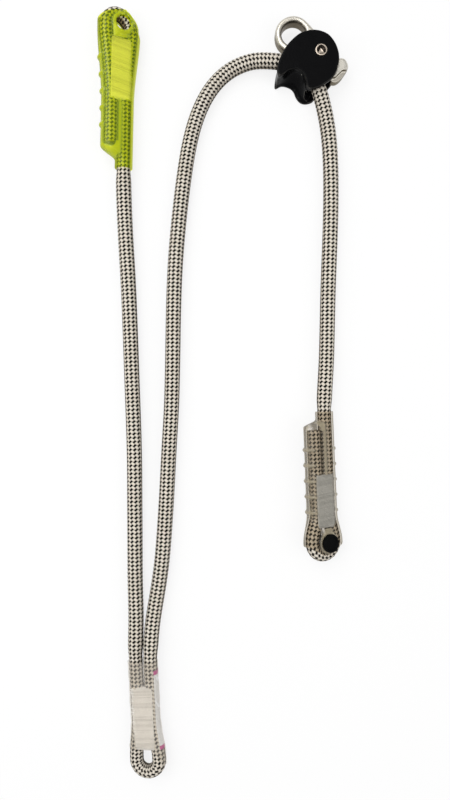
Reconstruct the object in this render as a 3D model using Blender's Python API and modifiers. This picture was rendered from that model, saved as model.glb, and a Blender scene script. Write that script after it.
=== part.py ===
"""Adjustable y-lanyard, laid out flat on a surface.

Metres, +Z up. The lanyard lies in the XY plane, with +Y from its harness eye towards its two far ends.
The origin is under the middle of the box round the sewn ends and the rope adjuster.
"""

import math

import bmesh
import bpy
from mathutils import Euler, Matrix, Vector

MM = 0.001

# Rope and the gap between pieces that touch
ROPE_RADIUS = 5.5 * MM
STRAND_SQUEEZE = 0.6 * MM
CLEARANCE = 0.3 * MM
FLARE_LENGTH = 5.0 * MM
ROPE_SIDES_RESOLUTION = 3
CORD_SIDES_RESOLUTION = 2
CORD_POINT_SPACING = 22.0 * MM
CORD_STRAIGHT_START = 8.0 * MM
FLOOR_GAP = 0.1 * MM

# Where the layout's own zero lies in the model: it puts the origin under the middle of the rigid pieces
LAYOUT_ORIGIN = Vector((1.53 * MM, -5.06 * MM, 0.0))

# Sewn ends, measured along the rope from the centre of the eye
WEB_THICKNESS = 0.3 * MM
STITCH_WIDTH = 13.0 * MM
STITCH_HEIGHT = 0.6 * MM
STITCH_COVER = 0.3 * MM
STITCH_START = 10.5 * MM
MOULDED_ROPE_OPENING = 4.3 * MM
MOULDED_EYE_HOLE = 5.2 * MM
LIP_RADIUS = 1.1 * MM
LIP_OUTWARD = 0.8
SHOULDER = -1.5 * MM
DOME_COVER = 9.8 * MM
TAIL_WALL = 1.5 * MM
RIB_RADIUS = 1.4 * MM
RIB_SINK = 0.1 * MM
RIB_COUNT = 5
RIB_HALF_ANGLE = 45.0

# Fixed end: the moulded eye of the fixed arm
FIXED_EYE = (-75.4 * MM, 266.3 * MM)
FIXED_HEADING = -91.25
FIXED_ROLL = -22.0
FIXED_EYE_TAPER = 55.0 * MM
FIXED_STITCH_LENGTH = 43.0 * MM
FIXED_TAIL_PAST_STITCH = 30.0 * MM
FIXED_TAPER = 12.0 * MM
FIXED_COLLAR = 3.9 * MM
FIXED_RIB_START = 24.2 * MM
FIXED_RIB_PITCH = 11.85 * MM

# Free end: the moulded and plugged eye of the adjustable arm's tail
FREE_EYE = (69.8 * MM, -100.7 * MM)
FREE_HEADING = 92.3
FREE_ROLL = 28.0
FREE_EYE_TAPER = 20.0 * MM
FREE_STITCH_LENGTH = 37.4 * MM
FREE_TAIL_PAST_STITCH = 31.5 * MM
FREE_TAPER = 7.0 * MM
FREE_COLLAR = 4.6 * MM
FREE_RIB_START = 21.8 * MM
FREE_RIB_PITCH = 11.0 * MM

# Plug in the free end's eye
PLUG_HEAD_RADIUS = 6.5 * MM
PLUG_HEAD_HEIGHT = 2.6 * MM
PLUG_RIM = 1.6 * MM
PLUG_EDGE = 0.6 * MM
PLUG_RECESS_DEPTH = 0.8 * MM
PLUG_FOOT_RADIUS = 5.4 * MM
PLUG_FOOT_HEIGHT = 1.0 * MM

# Harness end: a rope eye with both arms, a clear sleeve and a label strip
HARNESS_EYE = (-55.1 * MM, -257.1 * MM)
HARNESS_HEADING = 92.9
HARNESS_ROLL = -10.0
HARNESS_ROPE_OPENING = 3.4 * MM
HARNESS_EYE_TAPER = 30.0 * MM
HARNESS_STITCH_START = 9.0 * MM
HARNESS_STITCH_LENGTH = 43.6 * MM
HARNESS_SLEEVE_PAST_STITCH = 18.2 * MM
HARNESS_ROPE_PAST_SLEEVE = 2.0 * MM
HARNESS_SLEEVE_GAP = 0.65 * MM
HARNESS_SLEEVE_WALL = 0.45 * MM
HARNESS_CUT_LEFT = 9.5 * MM
HARNESS_CUT_RIGHT = -2.5 * MM
LABEL_GAP = 0.2 * MM
LABEL_THICKNESS = 0.2 * MM
LABEL_START = 9.0 * MM
LABEL_SHORT_OF_SLEEVE = 6.2 * MM
LABEL_ANGLES = (-38.0, 52.0)

# Rope adjuster, placed by its cam pivot
PIVOT = (67.3 * MM, 244.7 * MM)
PLATE_THICKNESS = 3.0 * MM
CHANNEL_SIDE_GAP = 1.2 * MM
EDGE_CHAMFER = 0.6 * MM
SADDLE_GAP = 0.45 * MM
OUTLINE_STEPS = 3

# Outlines from the pivot, in millimetres, clockwise from the rope's entry over the top
SHARED_OUTLINE = [
    (-30.9, -12.4), (-29.1, -5.6), (-24.7, 2.8), (-20.2, 8.1), (-14.4, 12.6), (-8.2, 14.6),
    (-3.7, 14.8), (0.7, 13.9), (5.2, 11.7), (8.8, 7.7), (11.0, 3.7), (12.5, -1.2),
    (12.8, -6.1), (11.8, -11.4), (10.1, -15.9), (7.4, -19.5), (3.4, -22.6), (-1.1, -25.3),
]
FRONT_SCOOP = [
    (-5.5, -26.6), (-8.2, -26.9), (-9.9, -25.3), (-10.9, -20.8), (-12.6, -16.3),
    (-15.3, -13.9), (-18.2, -12.8), (-22.5, -13.8), (-26.6, -16.8), (-29.6, -17.6),
]
BACK_SCOOP = [
    (-4.3, -29.1), (-8.9, -30.4), (-12.4, -29.7), (-14.7, -27.7), (-16.5, -24.8),
    (-17.4, -22.3), (-19.3, -19.8), (-22.7, -18.1), (-26.5, -17.5), (-31.1, -19.3),
]
MOUTH_FLARE = [(-9.9, -22.4), (-10.6, -26.0), (-13.0, -29.4), (-16.0, -33.5)]

# The rope's centre line through the adjuster, from the pivot, in millimetres; the third value is its
# height above the floor as a share of the way from lying on it to the middle of the channel
HELD_ROPE = [
    (-47.3, -1.1, 0.40), (-38.8, -2.0, 0.66), (-30.3, -3.2, 0.92), (-23.8, -4.4, 1.0),
    (-17.7, -6.4, 1.0), (-12.5, -9.2, 1.0), (-8.1, -12.8, 1.0), (-3.9, -16.5, 1.0),
    (-1.3, -20.7, 1.0), (0.5, -25.3, 0.95), (2.1, -30.1, 0.75), (3.0, -33.4, 0.60),
]
SADDLE_FIRST = 2
SADDLE_LAST = 7
HELD_ROPE_SPACING = 6.0 * MM

# Cam: attachment eye, gripping nose and release tail in one piece
CAM_EYE = (-18.7 * MM, 13.9 * MM)
CAM_EYE_HOLE = 8.8 * MM
CAM_EYE_WALL = 3.5 * MM
CAM_EYE_ARC = (48.0, 283.0)
CAM_SIDE_GAP = 0.25 * MM
WASHER_THICKNESS = 0.5 * MM
CAM_EDGE = 1.2 * MM
NOSE_RISE = 1.1 * MM
NOSE_SHAPE = [
    (-160, 0.0), (-148, 0.0), (-136, 0.0), (-124, 0.0),
    (-113, 0.5), (-103, 1.0), (-93, 0.8), (-84, 0.2),
]
CAM_TAIL = [
    (3.6, -9.6), (6.6, -15.5), (8.0, -18.6), (11.6, -19.0), (15.0, -16.6), (17.6, -13.1),
    (20.1, -8.5), (17.4, -3.1), (11.6, -2.2), (8.6, 3.0), (5.0, 7.4),
]

# Axle, bush, washers and spring, all on the pivot
BOLT_RADIUS = 2.4 * MM
BOLT_HEAD_RADIUS = 4.2 * MM
BOLT_HEAD_HEIGHT = 1.6 * MM
BOLT_HEAD_RECESS = 0.8 * MM
BOLT_HEAD_CROWN = 0.4 * MM
DRIVE_RADIUS = 2.3 * MM
DRIVE_DEPTH = 0.9 * MM
NUT_WALL = 1.0 * MM
NUT_FLANGE_WIDTH = 1.3 * MM
FLANGE_THICKNESS = 1.2 * MM
BUSH_WALL = 0.8 * MM
HUB_WALL = 0.7 * MM
WASHER_EDGE_GAP = 0.1 * MM
WIRE_RADIUS = 0.4 * MM
COIL_TURNS = 2.5
COIL_GAP = 0.45 * MM
COIL_POINTS = 10
LEG_LENGTH = 2.4 * MM
SPRING_POCKET_GAP = 0.35 * MM

# Cord routes: centre lines seen from above, in millimetres from the layout's zero, chosen by hand
FIXED_ARM_ROUTE = [
    (-64.2, -158.0), (-64.6, -132.0), (-64.7, -104.3), (-64.9, -72.0), (-65.1, -39.6), (-66.5, 3.6),
    (-67.3, 25.2), (-68.0, 46.8), (-69.8, 89.9), (-71.2, 111.5), (-72.2, 133.1), (-72.6, 145.0),
]
ADJUSTABLE_ARM_ROUTE = [
    (-51.4, -158.2), (-49.6, -145.0), (-47.6, -133.0), (-45.3, -117.0), (-43.5, -93.5),
    (-42.1, -71.9), (-39.9, -28.8), (-38.5, -7.2), (-37.6, 29.0), (-36.9, 70.0), (-35.6, 100.7),
    (-33.8, 122.3), (-31.4, 145.0), (-28.6, 166.5), (-24.8, 188.5), (-20.7, 203.0), (-15.8, 214.8),
    (-9.2, 225.9), (-2.2, 233.2), (6.5, 239.6),
]
TAIL_ROUTE = [
    (73.4, 199.5), (75.0, 187.0), (75.9, 172.0), (76.2, 150.0), (75.9, 128.0), (75.2, 108.0),
    (74.1, 79.1), (73.4, 46.8), (72.7, 25.2),
]

# Derived sizes of the sewn ends
STRAND_RADIUS = ROPE_RADIUS - STRAND_SQUEEZE
STRAND_OFFSET = STRAND_RADIUS + CLEARANCE + WEB_THICKNESS / 2
SPREAD_OFFSET = ROPE_RADIUS + CLEARANCE
MOULDED_EYE_BEND = MOULDED_ROPE_OPENING + STRAND_RADIUS
HARNESS_BEND = HARNESS_ROPE_OPENING + STRAND_RADIUS
FIXED_STRANDS = (MOULDED_EYE_BEND, FIXED_EYE_TAPER)
FREE_STRANDS = (MOULDED_EYE_BEND, FREE_EYE_TAPER)
HARNESS_STRANDS = (HARNESS_BEND, HARNESS_EYE_TAPER)
STITCH_TOP = STRAND_RADIUS + CLEARANCE + STITCH_HEIGHT
SLEEVE_INNER = STRAND_RADIUS + CLEARANCE
SLEEVE_OUTER = STITCH_TOP + CLEARANCE + STITCH_COVER
HARNESS_SLEEVE_INNER = STRAND_RADIUS + HARNESS_SLEEVE_GAP
HARNESS_SLEEVE_OUTER = HARNESS_SLEEVE_INNER + HARNESS_SLEEVE_WALL
HARNESS_SLEEVE_HIGH = STITCH_TOP + CLEARANCE + HARNESS_SLEEVE_WALL
HARNESS_STITCH_END = HARNESS_STITCH_START + HARNESS_STITCH_LENGTH
HARNESS_SLEEVE_END = HARNESS_STITCH_END + HARNESS_SLEEVE_PAST_STITCH
HARNESS_ROPE_END = HARNESS_SLEEVE_END + HARNESS_ROPE_PAST_SLEEVE + FLARE_LENGTH
LABEL_END = HARNESS_SLEEVE_END - LABEL_SHORT_OF_SLEEVE

# Derived sizes of the adjuster and of what sits round its pivot
CHANNEL_WIDTH = 2 * (ROPE_RADIUS + CHANNEL_SIDE_GAP)
BODY_HEIGHT = 2 * PLATE_THICKNESS + CHANNEL_WIDTH
MID_HEIGHT = BODY_HEIGHT / 2
BODY_REACH = 2 * MM * max(math.hypot(x, y) for x, y in SHARED_OUTLINE)
CAM_EYE_OUTER = CAM_EYE_HOLE + CAM_EYE_WALL
CAM_BOTTOM = PLATE_THICKNESS + WASHER_THICKNESS + 2 * CAM_SIDE_GAP
CAM_TOP = BODY_HEIGHT - CAM_BOTTOM
NUT_RADIUS = BOLT_RADIUS + CLEARANCE + NUT_WALL
NUT_FLANGE = NUT_RADIUS + NUT_FLANGE_WIDTH
BUSH_INNER = NUT_RADIUS + CLEARANCE
BUSH_OUTER = BUSH_INNER + BUSH_WALL
CAM_BORE = BUSH_OUTER + CLEARANCE
POCKET_INNER = CAM_BORE + HUB_WALL
COIL_RADIUS = POCKET_INNER + SPRING_POCKET_GAP + WIRE_RADIUS
POCKET_OUTER = COIL_RADIUS + WIRE_RADIUS + SPRING_POCKET_GAP
COIL_PITCH = 2 * WIRE_RADIUS + COIL_GAP
COIL_BOTTOM = CAM_BOTTOM + WIRE_RADIUS + CLEARANCE
COIL_TOP = COIL_BOTTOM + COIL_TURNS * COIL_PITCH
POCKET_DEPTH = COIL_TOP + WIRE_RADIUS + CLEARANCE - CAM_BOTTOM


def remove_everything():
    for item in list(bpy.data.objects):
        bpy.data.objects.remove(item, do_unlink=True)


def collection(name):
    made = bpy.data.collections.get(name) or bpy.data.collections.new(name)
    if made.name not in bpy.context.scene.collection.children:
        bpy.context.scene.collection.children.link(made)
    return made


def paint(name, color, roughness, metallic=0.0):
    """A Principled material in one colour."""
    material = bpy.data.materials.get(name)
    if material is None:
        material = bpy.data.materials.new(name)
        material.use_nodes = True
        shader = material.node_tree.nodes["Principled BSDF"]
        shader.inputs["Base Color"].default_value = (*color, 1.0)
        shader.inputs["Roughness"].default_value = roughness
        shader.inputs["Metallic"].default_value = metallic
    return material


def add_object(name, data, parent, material=None):
    """Put a mesh or a curve into the parts' collection, or into the tools' one if it has no material."""
    made = bpy.data.objects.new(name, data)
    if material is None:
        collection("cutters").objects.link(made)
        made.display_type = "WIRE"
        made.hide_render = True
        made.hide_viewport = False
    else:
        collection("adjustable_y_lanyard").objects.link(made)
        data.materials.append(material)
    made.parent = parent
    return made


def add_frame(name, location, rotation, parent):
    """An empty that carries pieces built in their own frame."""
    frame = bpy.data.objects.new(name, None)
    collection("frames").objects.link(frame)
    frame.location = location
    frame.rotation_euler = rotation
    frame.parent = parent
    return frame


def tube_data(name, lines, radius, radii=None, resolution=ROPE_SIDES_RESOLUTION):
    """A curve with round section and filled caps; radii scale it point by point."""
    curve = bpy.data.curves.new(name, "CURVE")
    curve.dimensions = "3D"
    curve.bevel_depth = radius
    curve.bevel_resolution = resolution
    curve.render_resolution_u = 0
    curve.use_fill_caps = True
    for line in lines:
        spline = curve.splines.new("POLY")
        spline.points.add(len(line) - 1)
        for index, point in enumerate(line):
            spline.points[index].co = (*point, 1.0)
            spline.points[index].radius = radii[index] if radii else 1.0
    return curve


def outline_data(name, loops, half_height):
    """A flat outline, with any holes as further loops, as a plate of twice the half height."""
    curve = bpy.data.curves.new(name, "CURVE")
    curve.dimensions = "2D"
    curve.fill_mode = "BOTH"
    curve.extrude = half_height
    curve.render_resolution_u = 0
    for loop in loops:
        spline = curve.splines.new("POLY")
        spline.points.add(len(loop) - 1)
        spline.use_cyclic_u = True
        for index, point in enumerate(loop):
            spline.points[index].co = (point[0], point[1], 0.0, 1.0)
    return curve


def as_mesh(source):
    """Swap a curve object for a mesh object of the same shape and place, with its caps welded."""
    bpy.context.view_layer.update()
    evaluated = source.evaluated_get(bpy.context.evaluated_depsgraph_get())
    mesh = bpy.data.meshes.new_from_object(evaluated)
    work = bmesh.new()
    work.from_mesh(mesh)
    bmesh.ops.remove_doubles(work, verts=work.verts, dist=0.001 * MM)
    bmesh.ops.recalc_face_normals(work, faces=work.faces)
    work.to_mesh(mesh)
    work.free()
    name = source.name
    made = bpy.data.objects.new(name + "_mesh", mesh)
    for home in source.users_collection:
        home.objects.link(made)
    made.display_type = source.display_type
    made.hide_render = source.hide_render
    made.parent = source.parent
    made.location = source.location
    made.rotation_euler = source.rotation_euler
    bpy.data.objects.remove(source, do_unlink=True)
    made.name = name
    return made


def loft_data(name, rings):
    """A closed solid through rings of equally many points."""
    mesh = bpy.data.meshes.new(name)
    work = bmesh.new()
    rows = [[work.verts.new(point) for point in ring] for ring in rings]
    count = len(rows[0])
    for below, above in zip(rows, rows[1:]):
        for index in range(count):
            after = (index + 1) % count
            work.faces.new((below[index], below[after], above[after], above[index]))
    work.faces.new(rows[0])
    work.faces.new(rows[-1])
    bmesh.ops.recalc_face_normals(work, faces=work.faces)
    work.to_mesh(mesh)
    work.free()
    return mesh


def cylinder_data(name, radius, height, segments=48):
    mesh = bpy.data.meshes.new(name)
    work = bmesh.new()
    bmesh.ops.create_cone(
        work, cap_ends=True, segments=segments, radius1=radius, radius2=radius, depth=height
    )
    work.to_mesh(mesh)
    work.free()
    return mesh


def box_data(name, low, high):
    mesh = bpy.data.meshes.new(name)
    work = bmesh.new()
    size = [top - bottom for bottom, top in zip(low, high)]
    centre = [(top + bottom) / 2 for bottom, top in zip(low, high)]
    place = Matrix.Translation(centre) @ Matrix.Diagonal((*size, 1.0))
    bmesh.ops.create_cube(work, size=1.0, matrix=place)
    work.to_mesh(mesh)
    work.free()
    return mesh


def turned(name, profile, location, parent, material, closed=False, steps=40):
    """A turned piece: a profile of (radius, height) points, top to bottom, swept round Z."""
    mesh = bpy.data.meshes.new(name)
    work = bmesh.new()
    row = [work.verts.new((radius, 0.0, height)) for radius, height in profile]
    for above, below in zip(row, row[1:]):
        work.edges.new((above, below))
    if closed:
        work.edges.new((row[-1], row[0]))
    work.to_mesh(mesh)
    work.free()
    made = add_object(name, mesh, parent, material)
    made.location = location
    screw = made.modifiers.new("turn", "SCREW")
    screw.steps = steps
    screw.render_steps = steps
    screw.use_merge_vertices = True
    screw.merge_threshold = 0.005 * MM
    return made


def combine(target, tool, operation="DIFFERENCE"):
    modifier = target.modifiers.new(tool.name, "BOOLEAN")
    modifier.operation = operation
    modifier.object = tool
    modifier.solver = "EXACT"


def shade_round(target):
    """Smooth shading with sharp edges kept."""
    for face in target.data.polygons:
        face.use_smooth = True
    target.data.set_sharp_from_angle(angle=math.radians(35))


def blend_weight(share):
    """Goes smoothly from 0 to 1."""
    share = min(max(share, 0.0), 1.0)
    return share * share * (3.0 - 2.0 * share)


def spline_point(before, start, end, after, share):
    """A point on the smooth curve between start and end."""
    knots = [0.0]
    points = (before, start, end, after)
    for first, second in zip(points, points[1:]):
        knots.append(knots[-1] + max((second - first).length, 1e-9) ** 0.5)
    at = knots[1] + (knots[2] - knots[1]) * share
    level = list(points)
    for depth in range(1, 4):
        for index in range(4 - depth):
            low = knots[index] if depth < 3 else knots[1]
            high = knots[index + depth] if depth < 3 else knots[2]
            part = (at - low) / (high - low)
            level[index] = level[index].lerp(level[index + 1], part)
    return level[0]


def smooth_closed(points, steps):
    """A smooth closed line through flat points, with so many steps from each to the next."""
    flat = [Vector((x, y, 0.0)) for x, y in points]
    count = len(flat)
    line = []
    for index in range(count):
        near = [flat[(index + shift) % count] for shift in (-1, 0, 1, 2)]
        line += [spline_point(*near, step / steps) for step in range(steps)]
    return [(point.x, point.y) for point in line]


def smooth_route(points, spacing):
    """Even points on the smooth curve through a cord's route."""
    ends = [2 * points[0] - points[1], *points, 2 * points[-1] - points[-2]]
    dense = []
    for index in range(len(points) - 1):
        dense += [spline_point(*ends[index : index + 4], step / 12) for step in range(12)]
    dense.append(points[-1])
    reach = [0.0]
    for first, second in zip(dense, dense[1:]):
        reach.append(reach[-1] + (second - first).length)
    count = max(2, round(reach[-1] / spacing))
    line = []
    at = 0
    for step in range(count + 1):
        wanted = reach[-1] * step / count
        while at < len(dense) - 2 and reach[at + 1] < wanted:
            at += 1
        part = (wanted - reach[at]) / (reach[at + 1] - reach[at])
        line.append(dense[at].lerp(dense[at + 1], min(part, 1.0)))
    return line


def strand_offset(along, strands):
    """How far a strand's centre lies from the middle line, at a distance along from the eye's centre."""
    bend, taper = strands
    return bend + (STRAND_OFFSET - bend) * blend_weight(along / taper)


def strand_line(end, strands, spread):
    """Centre line of one strand from its end to the eye: (offset, along, radius) triples."""
    line = []
    straight_end = end
    if spread:
        line.append((spread, end, ROPE_RADIUS))
        line.append((spread, end - FLARE_LENGTH / 3, ROPE_RADIUS))
        straight_end = end - FLARE_LENGTH
    taper = strands[1]
    straight_steps = 2
    for step in range(straight_steps):
        along = straight_end + (taper - straight_end) * step / straight_steps
        line.append((STRAND_OFFSET, along, STRAND_RADIUS))
    taper_steps = 7
    for step in range(taper_steps):
        along = taper * (1 - step / taper_steps)
        line.append((strand_offset(along, strands), along, STRAND_RADIUS))
    return line


def eye_rope(name, parent, strands, main_end, tail_end, main_side, both_arms, material):
    """The rope of a sewn end, up one strand, round the eye and down the other; gives its centre line."""
    bend = strands[0]
    main = strand_line(main_end, strands, SPREAD_OFFSET if both_arms else STRAND_OFFSET)
    tail = strand_line(tail_end, strands, SPREAD_OFFSET if both_arms else 0.0)
    turn = 12
    loop = []
    for step in range(turn + 1):
        angle = math.pi * step / turn
        loop.append((bend * math.cos(angle), -bend * math.sin(angle), STRAND_RADIUS))
    route = main + loop + [(-offset, along, radius) for offset, along, radius in reversed(tail)]
    points = [Vector((main_side * offset, along, 0.0)) for offset, along, _ in route]
    radii = [radius / STRAND_RADIUS for _, _, radius in route]
    add_object(name, tube_data(name, [points], STRAND_RADIUS, radii), parent, material)
    return points


def stitching(name, parent, strands, start, end, material):
    """The sewn block: thread pads above and below, joined between the two strands."""
    reach = STRAND_RADIUS + CLEARANCE
    steps = 10
    lengths = 8
    rings = []
    for part in range(lengths + 1):
        along = start + (end - start) * part / lengths
        centre = strand_offset(along, strands)
        edge = math.acos((STITCH_WIDTH / 2 - centre) / reach)
        right = []
        for step in range(steps + 1):
            angle = edge + (2 * math.pi - 2 * edge) * step / steps
            right.append((centre + reach * math.cos(angle), reach * math.sin(angle)))
        top = [(STITCH_WIDTH / 2, STITCH_TOP), (-STITCH_WIDTH / 2, STITCH_TOP)]
        left = [(-x, z) for x, z in right]
        bottom = [(-STITCH_WIDTH / 2, -STITCH_TOP), (STITCH_WIDTH / 2, -STITCH_TOP)]
        section = top + left + bottom + [(x, z) for x, z in reversed(right)]
        rings.append([(x, along, z) for x, z in section])
    return add_object(name, loft_data(name, rings), parent, material)


def stadium(left, right, half_height, along, end_radius=None):
    """A flat ring with round ends, square to the rope."""
    reach = end_radius or half_height
    arc_steps = 9
    ring = []
    for centre, first in ((right - reach, -math.pi / 2), (left + reach, math.pi / 2)):
        for step in range(arc_steps + 1):
            angle = first + math.pi * step / arc_steps
            ring.append((centre + reach * math.cos(angle), along, half_height * math.sin(angle)))
    return ring


def sleeve_rings(strands, main_side, tail_end, taper, collar_end):
    """Cross-sections of a moulded sleeve, from beyond the eye to the collar."""
    bend, eye_taper = strands
    bulge_end = tail_end + TAIL_WALL
    rings = []
    alongs = [-bend - SLEEVE_OUTER, 0.0]
    alongs += [eye_taper * share for share in (0.15, 0.35, 0.6, 0.8, 1.0)]
    for along in (*alongs, bulge_end):
        half = strand_offset(along, strands) + SLEEVE_OUTER
        rings.append(stadium(-half, half, SLEEVE_OUTER, along))
    wide = STRAND_OFFSET + SLEEVE_OUTER
    narrow = SLEEVE_OUTER - STRAND_OFFSET
    steps = 7
    sides = []
    for step in range(1, steps + 1):
        tail_side = wide + (narrow - wide) * blend_weight(step / steps)
        sides.append((tail_side, bulge_end + taper * step / steps))
    sides.append((narrow, collar_end))
    for tail_side, along in sides:
        left, right = (-tail_side, wide) if main_side > 0 else (-wide, tail_side)
        rings.append(stadium(left, right, SLEEVE_OUTER, along))
    return rings


def sleeve_ribs(name, parent, strands, start, pitch):
    """Short half rings on both flanks, moulded on for grip."""
    ribs = []
    reach = SLEEVE_OUTER - RIB_SINK
    for side in (-1, 1):
        for index in range(RIB_COUNT):
            along = start + pitch * index
            rib = []
            for step in range(7):
                angle = math.radians(RIB_HALF_ANGLE * (step / 3 - 1))
                offset = strand_offset(along, strands) + reach * math.cos(angle)
                rib.append(Vector((side * offset, along, reach * math.sin(angle))))
            ribs.append(rib)
    return as_mesh(add_object(name, tube_data(name, ribs, RIB_RADIUS, resolution=1), parent))


def eye_lips(name, parent):
    """Two rounded rings, one round each mouth of the eye."""
    mesh = bpy.data.meshes.new(name)
    work = bmesh.new()
    lip_steps = 32
    tube_steps = 8
    middle = MOULDED_EYE_HOLE + LIP_OUTWARD * LIP_RADIUS
    for face in (-SLEEVE_OUTER, SLEEVE_OUTER):
        rings = []
        for step in range(lip_steps):
            angle = 2 * math.pi * step / lip_steps
            ring = []
            for part in range(tube_steps):
                turn = 2 * math.pi * part / tube_steps
                reach = middle + LIP_RADIUS * math.cos(turn)
                height = face + LIP_RADIUS * math.sin(turn)
                ring.append(work.verts.new((reach * math.cos(angle), reach * math.sin(angle), height)))
            rings.append(ring)
        for here, there in zip(rings, rings[1:] + rings[:1]):
            for part in range(tube_steps):
                after = (part + 1) % tube_steps
                work.faces.new((here[part], there[part], there[after], here[after]))
    bmesh.ops.recalc_face_normals(work, faces=work.faces)
    work.to_mesh(mesh)
    work.free()
    return add_object(name, mesh, parent)


def sleeve_end_cut(name, parent):
    """What is trimmed off beyond the eye: flat shoulders, and a round rim that bares the rope's dome."""
    far = MOULDED_EYE_BEND + 3 * SLEEVE_OUTER
    shoulder = MOULDED_EYE_BEND + SLEEVE_OUTER
    lean = math.acos(DOME_COVER / math.hypot(shoulder, SHOULDER))
    first = math.atan2(SHOULDER, -shoulder) + 2 * math.pi + lean
    last = math.atan2(SHOULDER, shoulder) + 2 * math.pi - lean
    cut = [(-far, SHOULDER), (-shoulder, SHOULDER)]
    steps = 8
    for step in range(steps + 1):
        angle = first + (last - first) * step / steps
        cut.append((DOME_COVER * math.cos(angle), DOME_COVER * math.sin(angle)))
    cut += [(shoulder, SHOULDER), (far, SHOULDER), (far, -far), (-far, -far)]
    return as_mesh(add_object(name, outline_data(name, [cut], far), parent))


def moulded_sleeve(name, parent, strands, main_side, ends, taper, ribs, rope_points, material):
    """The moulded sleeve round a sewn end: two strands wide, then a collar round the main strand."""
    stitch_end, tail_end, collar_end = ends
    rings = sleeve_rings(strands, main_side, tail_end, taper, collar_end)
    sleeve = add_object(name, loft_data(name, rings), parent, material)
    combine(sleeve, sleeve_ribs(name + "_ribs", parent, strands, *ribs), "UNION")
    combine(sleeve, eye_lips(name + "_lips", parent), "UNION")
    combine(sleeve, sleeve_end_cut(name + "_end_cut", parent))

    cavity_points = [point.copy() for point in rope_points]
    cavity_points[0].y = collar_end + 2 * SLEEVE_OUTER
    cavity_points[1].y = collar_end + SLEEVE_OUTER
    cavity_points[-1].y = tail_end + CLEARANCE
    cavity = add_object(name + "_cavity", tube_data(name + "_cavity", [cavity_points], SLEEVE_INNER), parent)
    combine(sleeve, as_mesh(cavity))

    side = STITCH_WIDTH / 2 + CLEARANCE
    high = STITCH_TOP + CLEARANCE
    pocket = box_data(
        name + "_pocket", (-side, STITCH_START - CLEARANCE, -high), (side, stitch_end + CLEARANCE, high)
    )
    combine(sleeve, add_object(name + "_pocket", pocket, parent))
    hole = cylinder_data(name + "_hole", MOULDED_EYE_HOLE, 4 * SLEEVE_OUTER, 32)
    combine(sleeve, add_object(name + "_hole", hole, parent))


def harness_sleeve(name, parent, material):
    """The clear sleeve round both strands, cut on a slant above the rope eye."""
    reach = HARNESS_BEND + HARNESS_SLEEVE_OUTER
    shares = (0.0, 0.2, 0.4, 0.6, 0.8, 1.0)
    alongs = [-reach, *(HARNESS_EYE_TAPER * share for share in shares), HARNESS_SLEEVE_END]
    past_ends = (-MM, *(0.0 for _ in shares), MM)
    outer = []
    inner = []
    for along, past_end in zip(alongs, past_ends):
        offset = strand_offset(along, HARNESS_STRANDS)
        wide = offset + HARNESS_SLEEVE_OUTER
        bore = offset + HARNESS_SLEEVE_INNER
        outer.append(stadium(-wide, wide, HARNESS_SLEEVE_HIGH, along, HARNESS_SLEEVE_OUTER))
        inner_high = HARNESS_SLEEVE_HIGH - HARNESS_SLEEVE_WALL
        inner.append(stadium(-bore, bore, inner_high, along + past_end, HARNESS_SLEEVE_INNER))
    sleeve = add_object(name, loft_data(name, outer), parent, material)
    combine(sleeve, add_object(name + "_bore", loft_data(name + "_bore", inner), parent))
    far = 3 * HARNESS_BEND
    cut = [
        (-far, HARNESS_CUT_LEFT), (STRAND_OFFSET, HARNESS_CUT_LEFT), (reach, HARNESS_CUT_RIGHT),
        (far, HARNESS_CUT_RIGHT), (far, -far), (-far, -far),
    ]
    cut_data = outline_data(name + "_end_cut", [cut], far)
    combine(sleeve, as_mesh(add_object(name + "_end_cut", cut_data, parent)))


def harness_label(name, parent, material):
    """A thin strip between the adjustable arm's strand and the sleeve, bent round the rope."""
    inside = STRAND_RADIUS + LABEL_GAP
    outside = inside + LABEL_THICKNESS
    steps = 10
    first, last = (math.radians(angle) for angle in LABEL_ANGLES)
    rings = []
    label_steps = 4
    bent = HARNESS_EYE_TAPER - LABEL_START
    alongs = [LABEL_START + bent * step / label_steps for step in range(label_steps + 1)]
    for along in (*alongs, LABEL_END):
        centre = strand_offset(along, HARNESS_STRANDS)
        ring = []
        for radius, order in ((outside, range(steps + 1)), (inside, range(steps, -1, -1))):
            for step in order:
                angle = first + (last - first) * step / steps
                ring.append((centre + radius * math.cos(angle), along, radius * math.sin(angle)))
        rings.append(ring)
    return add_object(name, loft_data(name, rings), parent, material)


def eye_plug(name, parent, material):
    """The rubber plug that closes the free end's eye: a head, a shank through the eye and a foot."""
    face = SLEEVE_OUTER + LIP_RADIUS + CLEARANCE
    top = face + PLUG_HEAD_HEIGHT
    alongs = [FREE_EYE_TAPER * step / 20 for step in range(21)]
    narrowest = min(math.hypot(strand_offset(along, FREE_STRANDS), along) for along in alongs)
    shank = narrowest - STRAND_RADIUS - CLEARANCE
    recess = PLUG_HEAD_RADIUS - PLUG_RIM
    profile = [
        (0.0, top - PLUG_RECESS_DEPTH),
        (recess - PLUG_EDGE, top - PLUG_RECESS_DEPTH),
        (recess, top),
        (PLUG_HEAD_RADIUS - PLUG_EDGE, top),
        (PLUG_HEAD_RADIUS, top - PLUG_EDGE),
        (PLUG_HEAD_RADIUS, face),
        (shank, face),
        (shank, -face),
        (PLUG_FOOT_RADIUS, -face),
        (PLUG_FOOT_RADIUS, -face - PLUG_FOOT_HEIGHT),
        (0.0, -face - PLUG_FOOT_HEIGHT),
    ]
    return turned(name, profile, (0.0, 0.0, 0.0), parent, material)


def rest_height(roll, *edges):
    """Height of a rolled end's middle line when its lowest edge, of (offset, radius) each, is down."""
    lean = abs(math.sin(math.radians(roll)))
    return max(offset * lean + radius for offset, radius in edges)


def end_frame(name, eye, heading, roll, height, parent):
    turn = (0.0, math.radians(roll), math.radians(heading - 90))
    return add_frame(name, (*eye, height), turn, parent)


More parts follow.
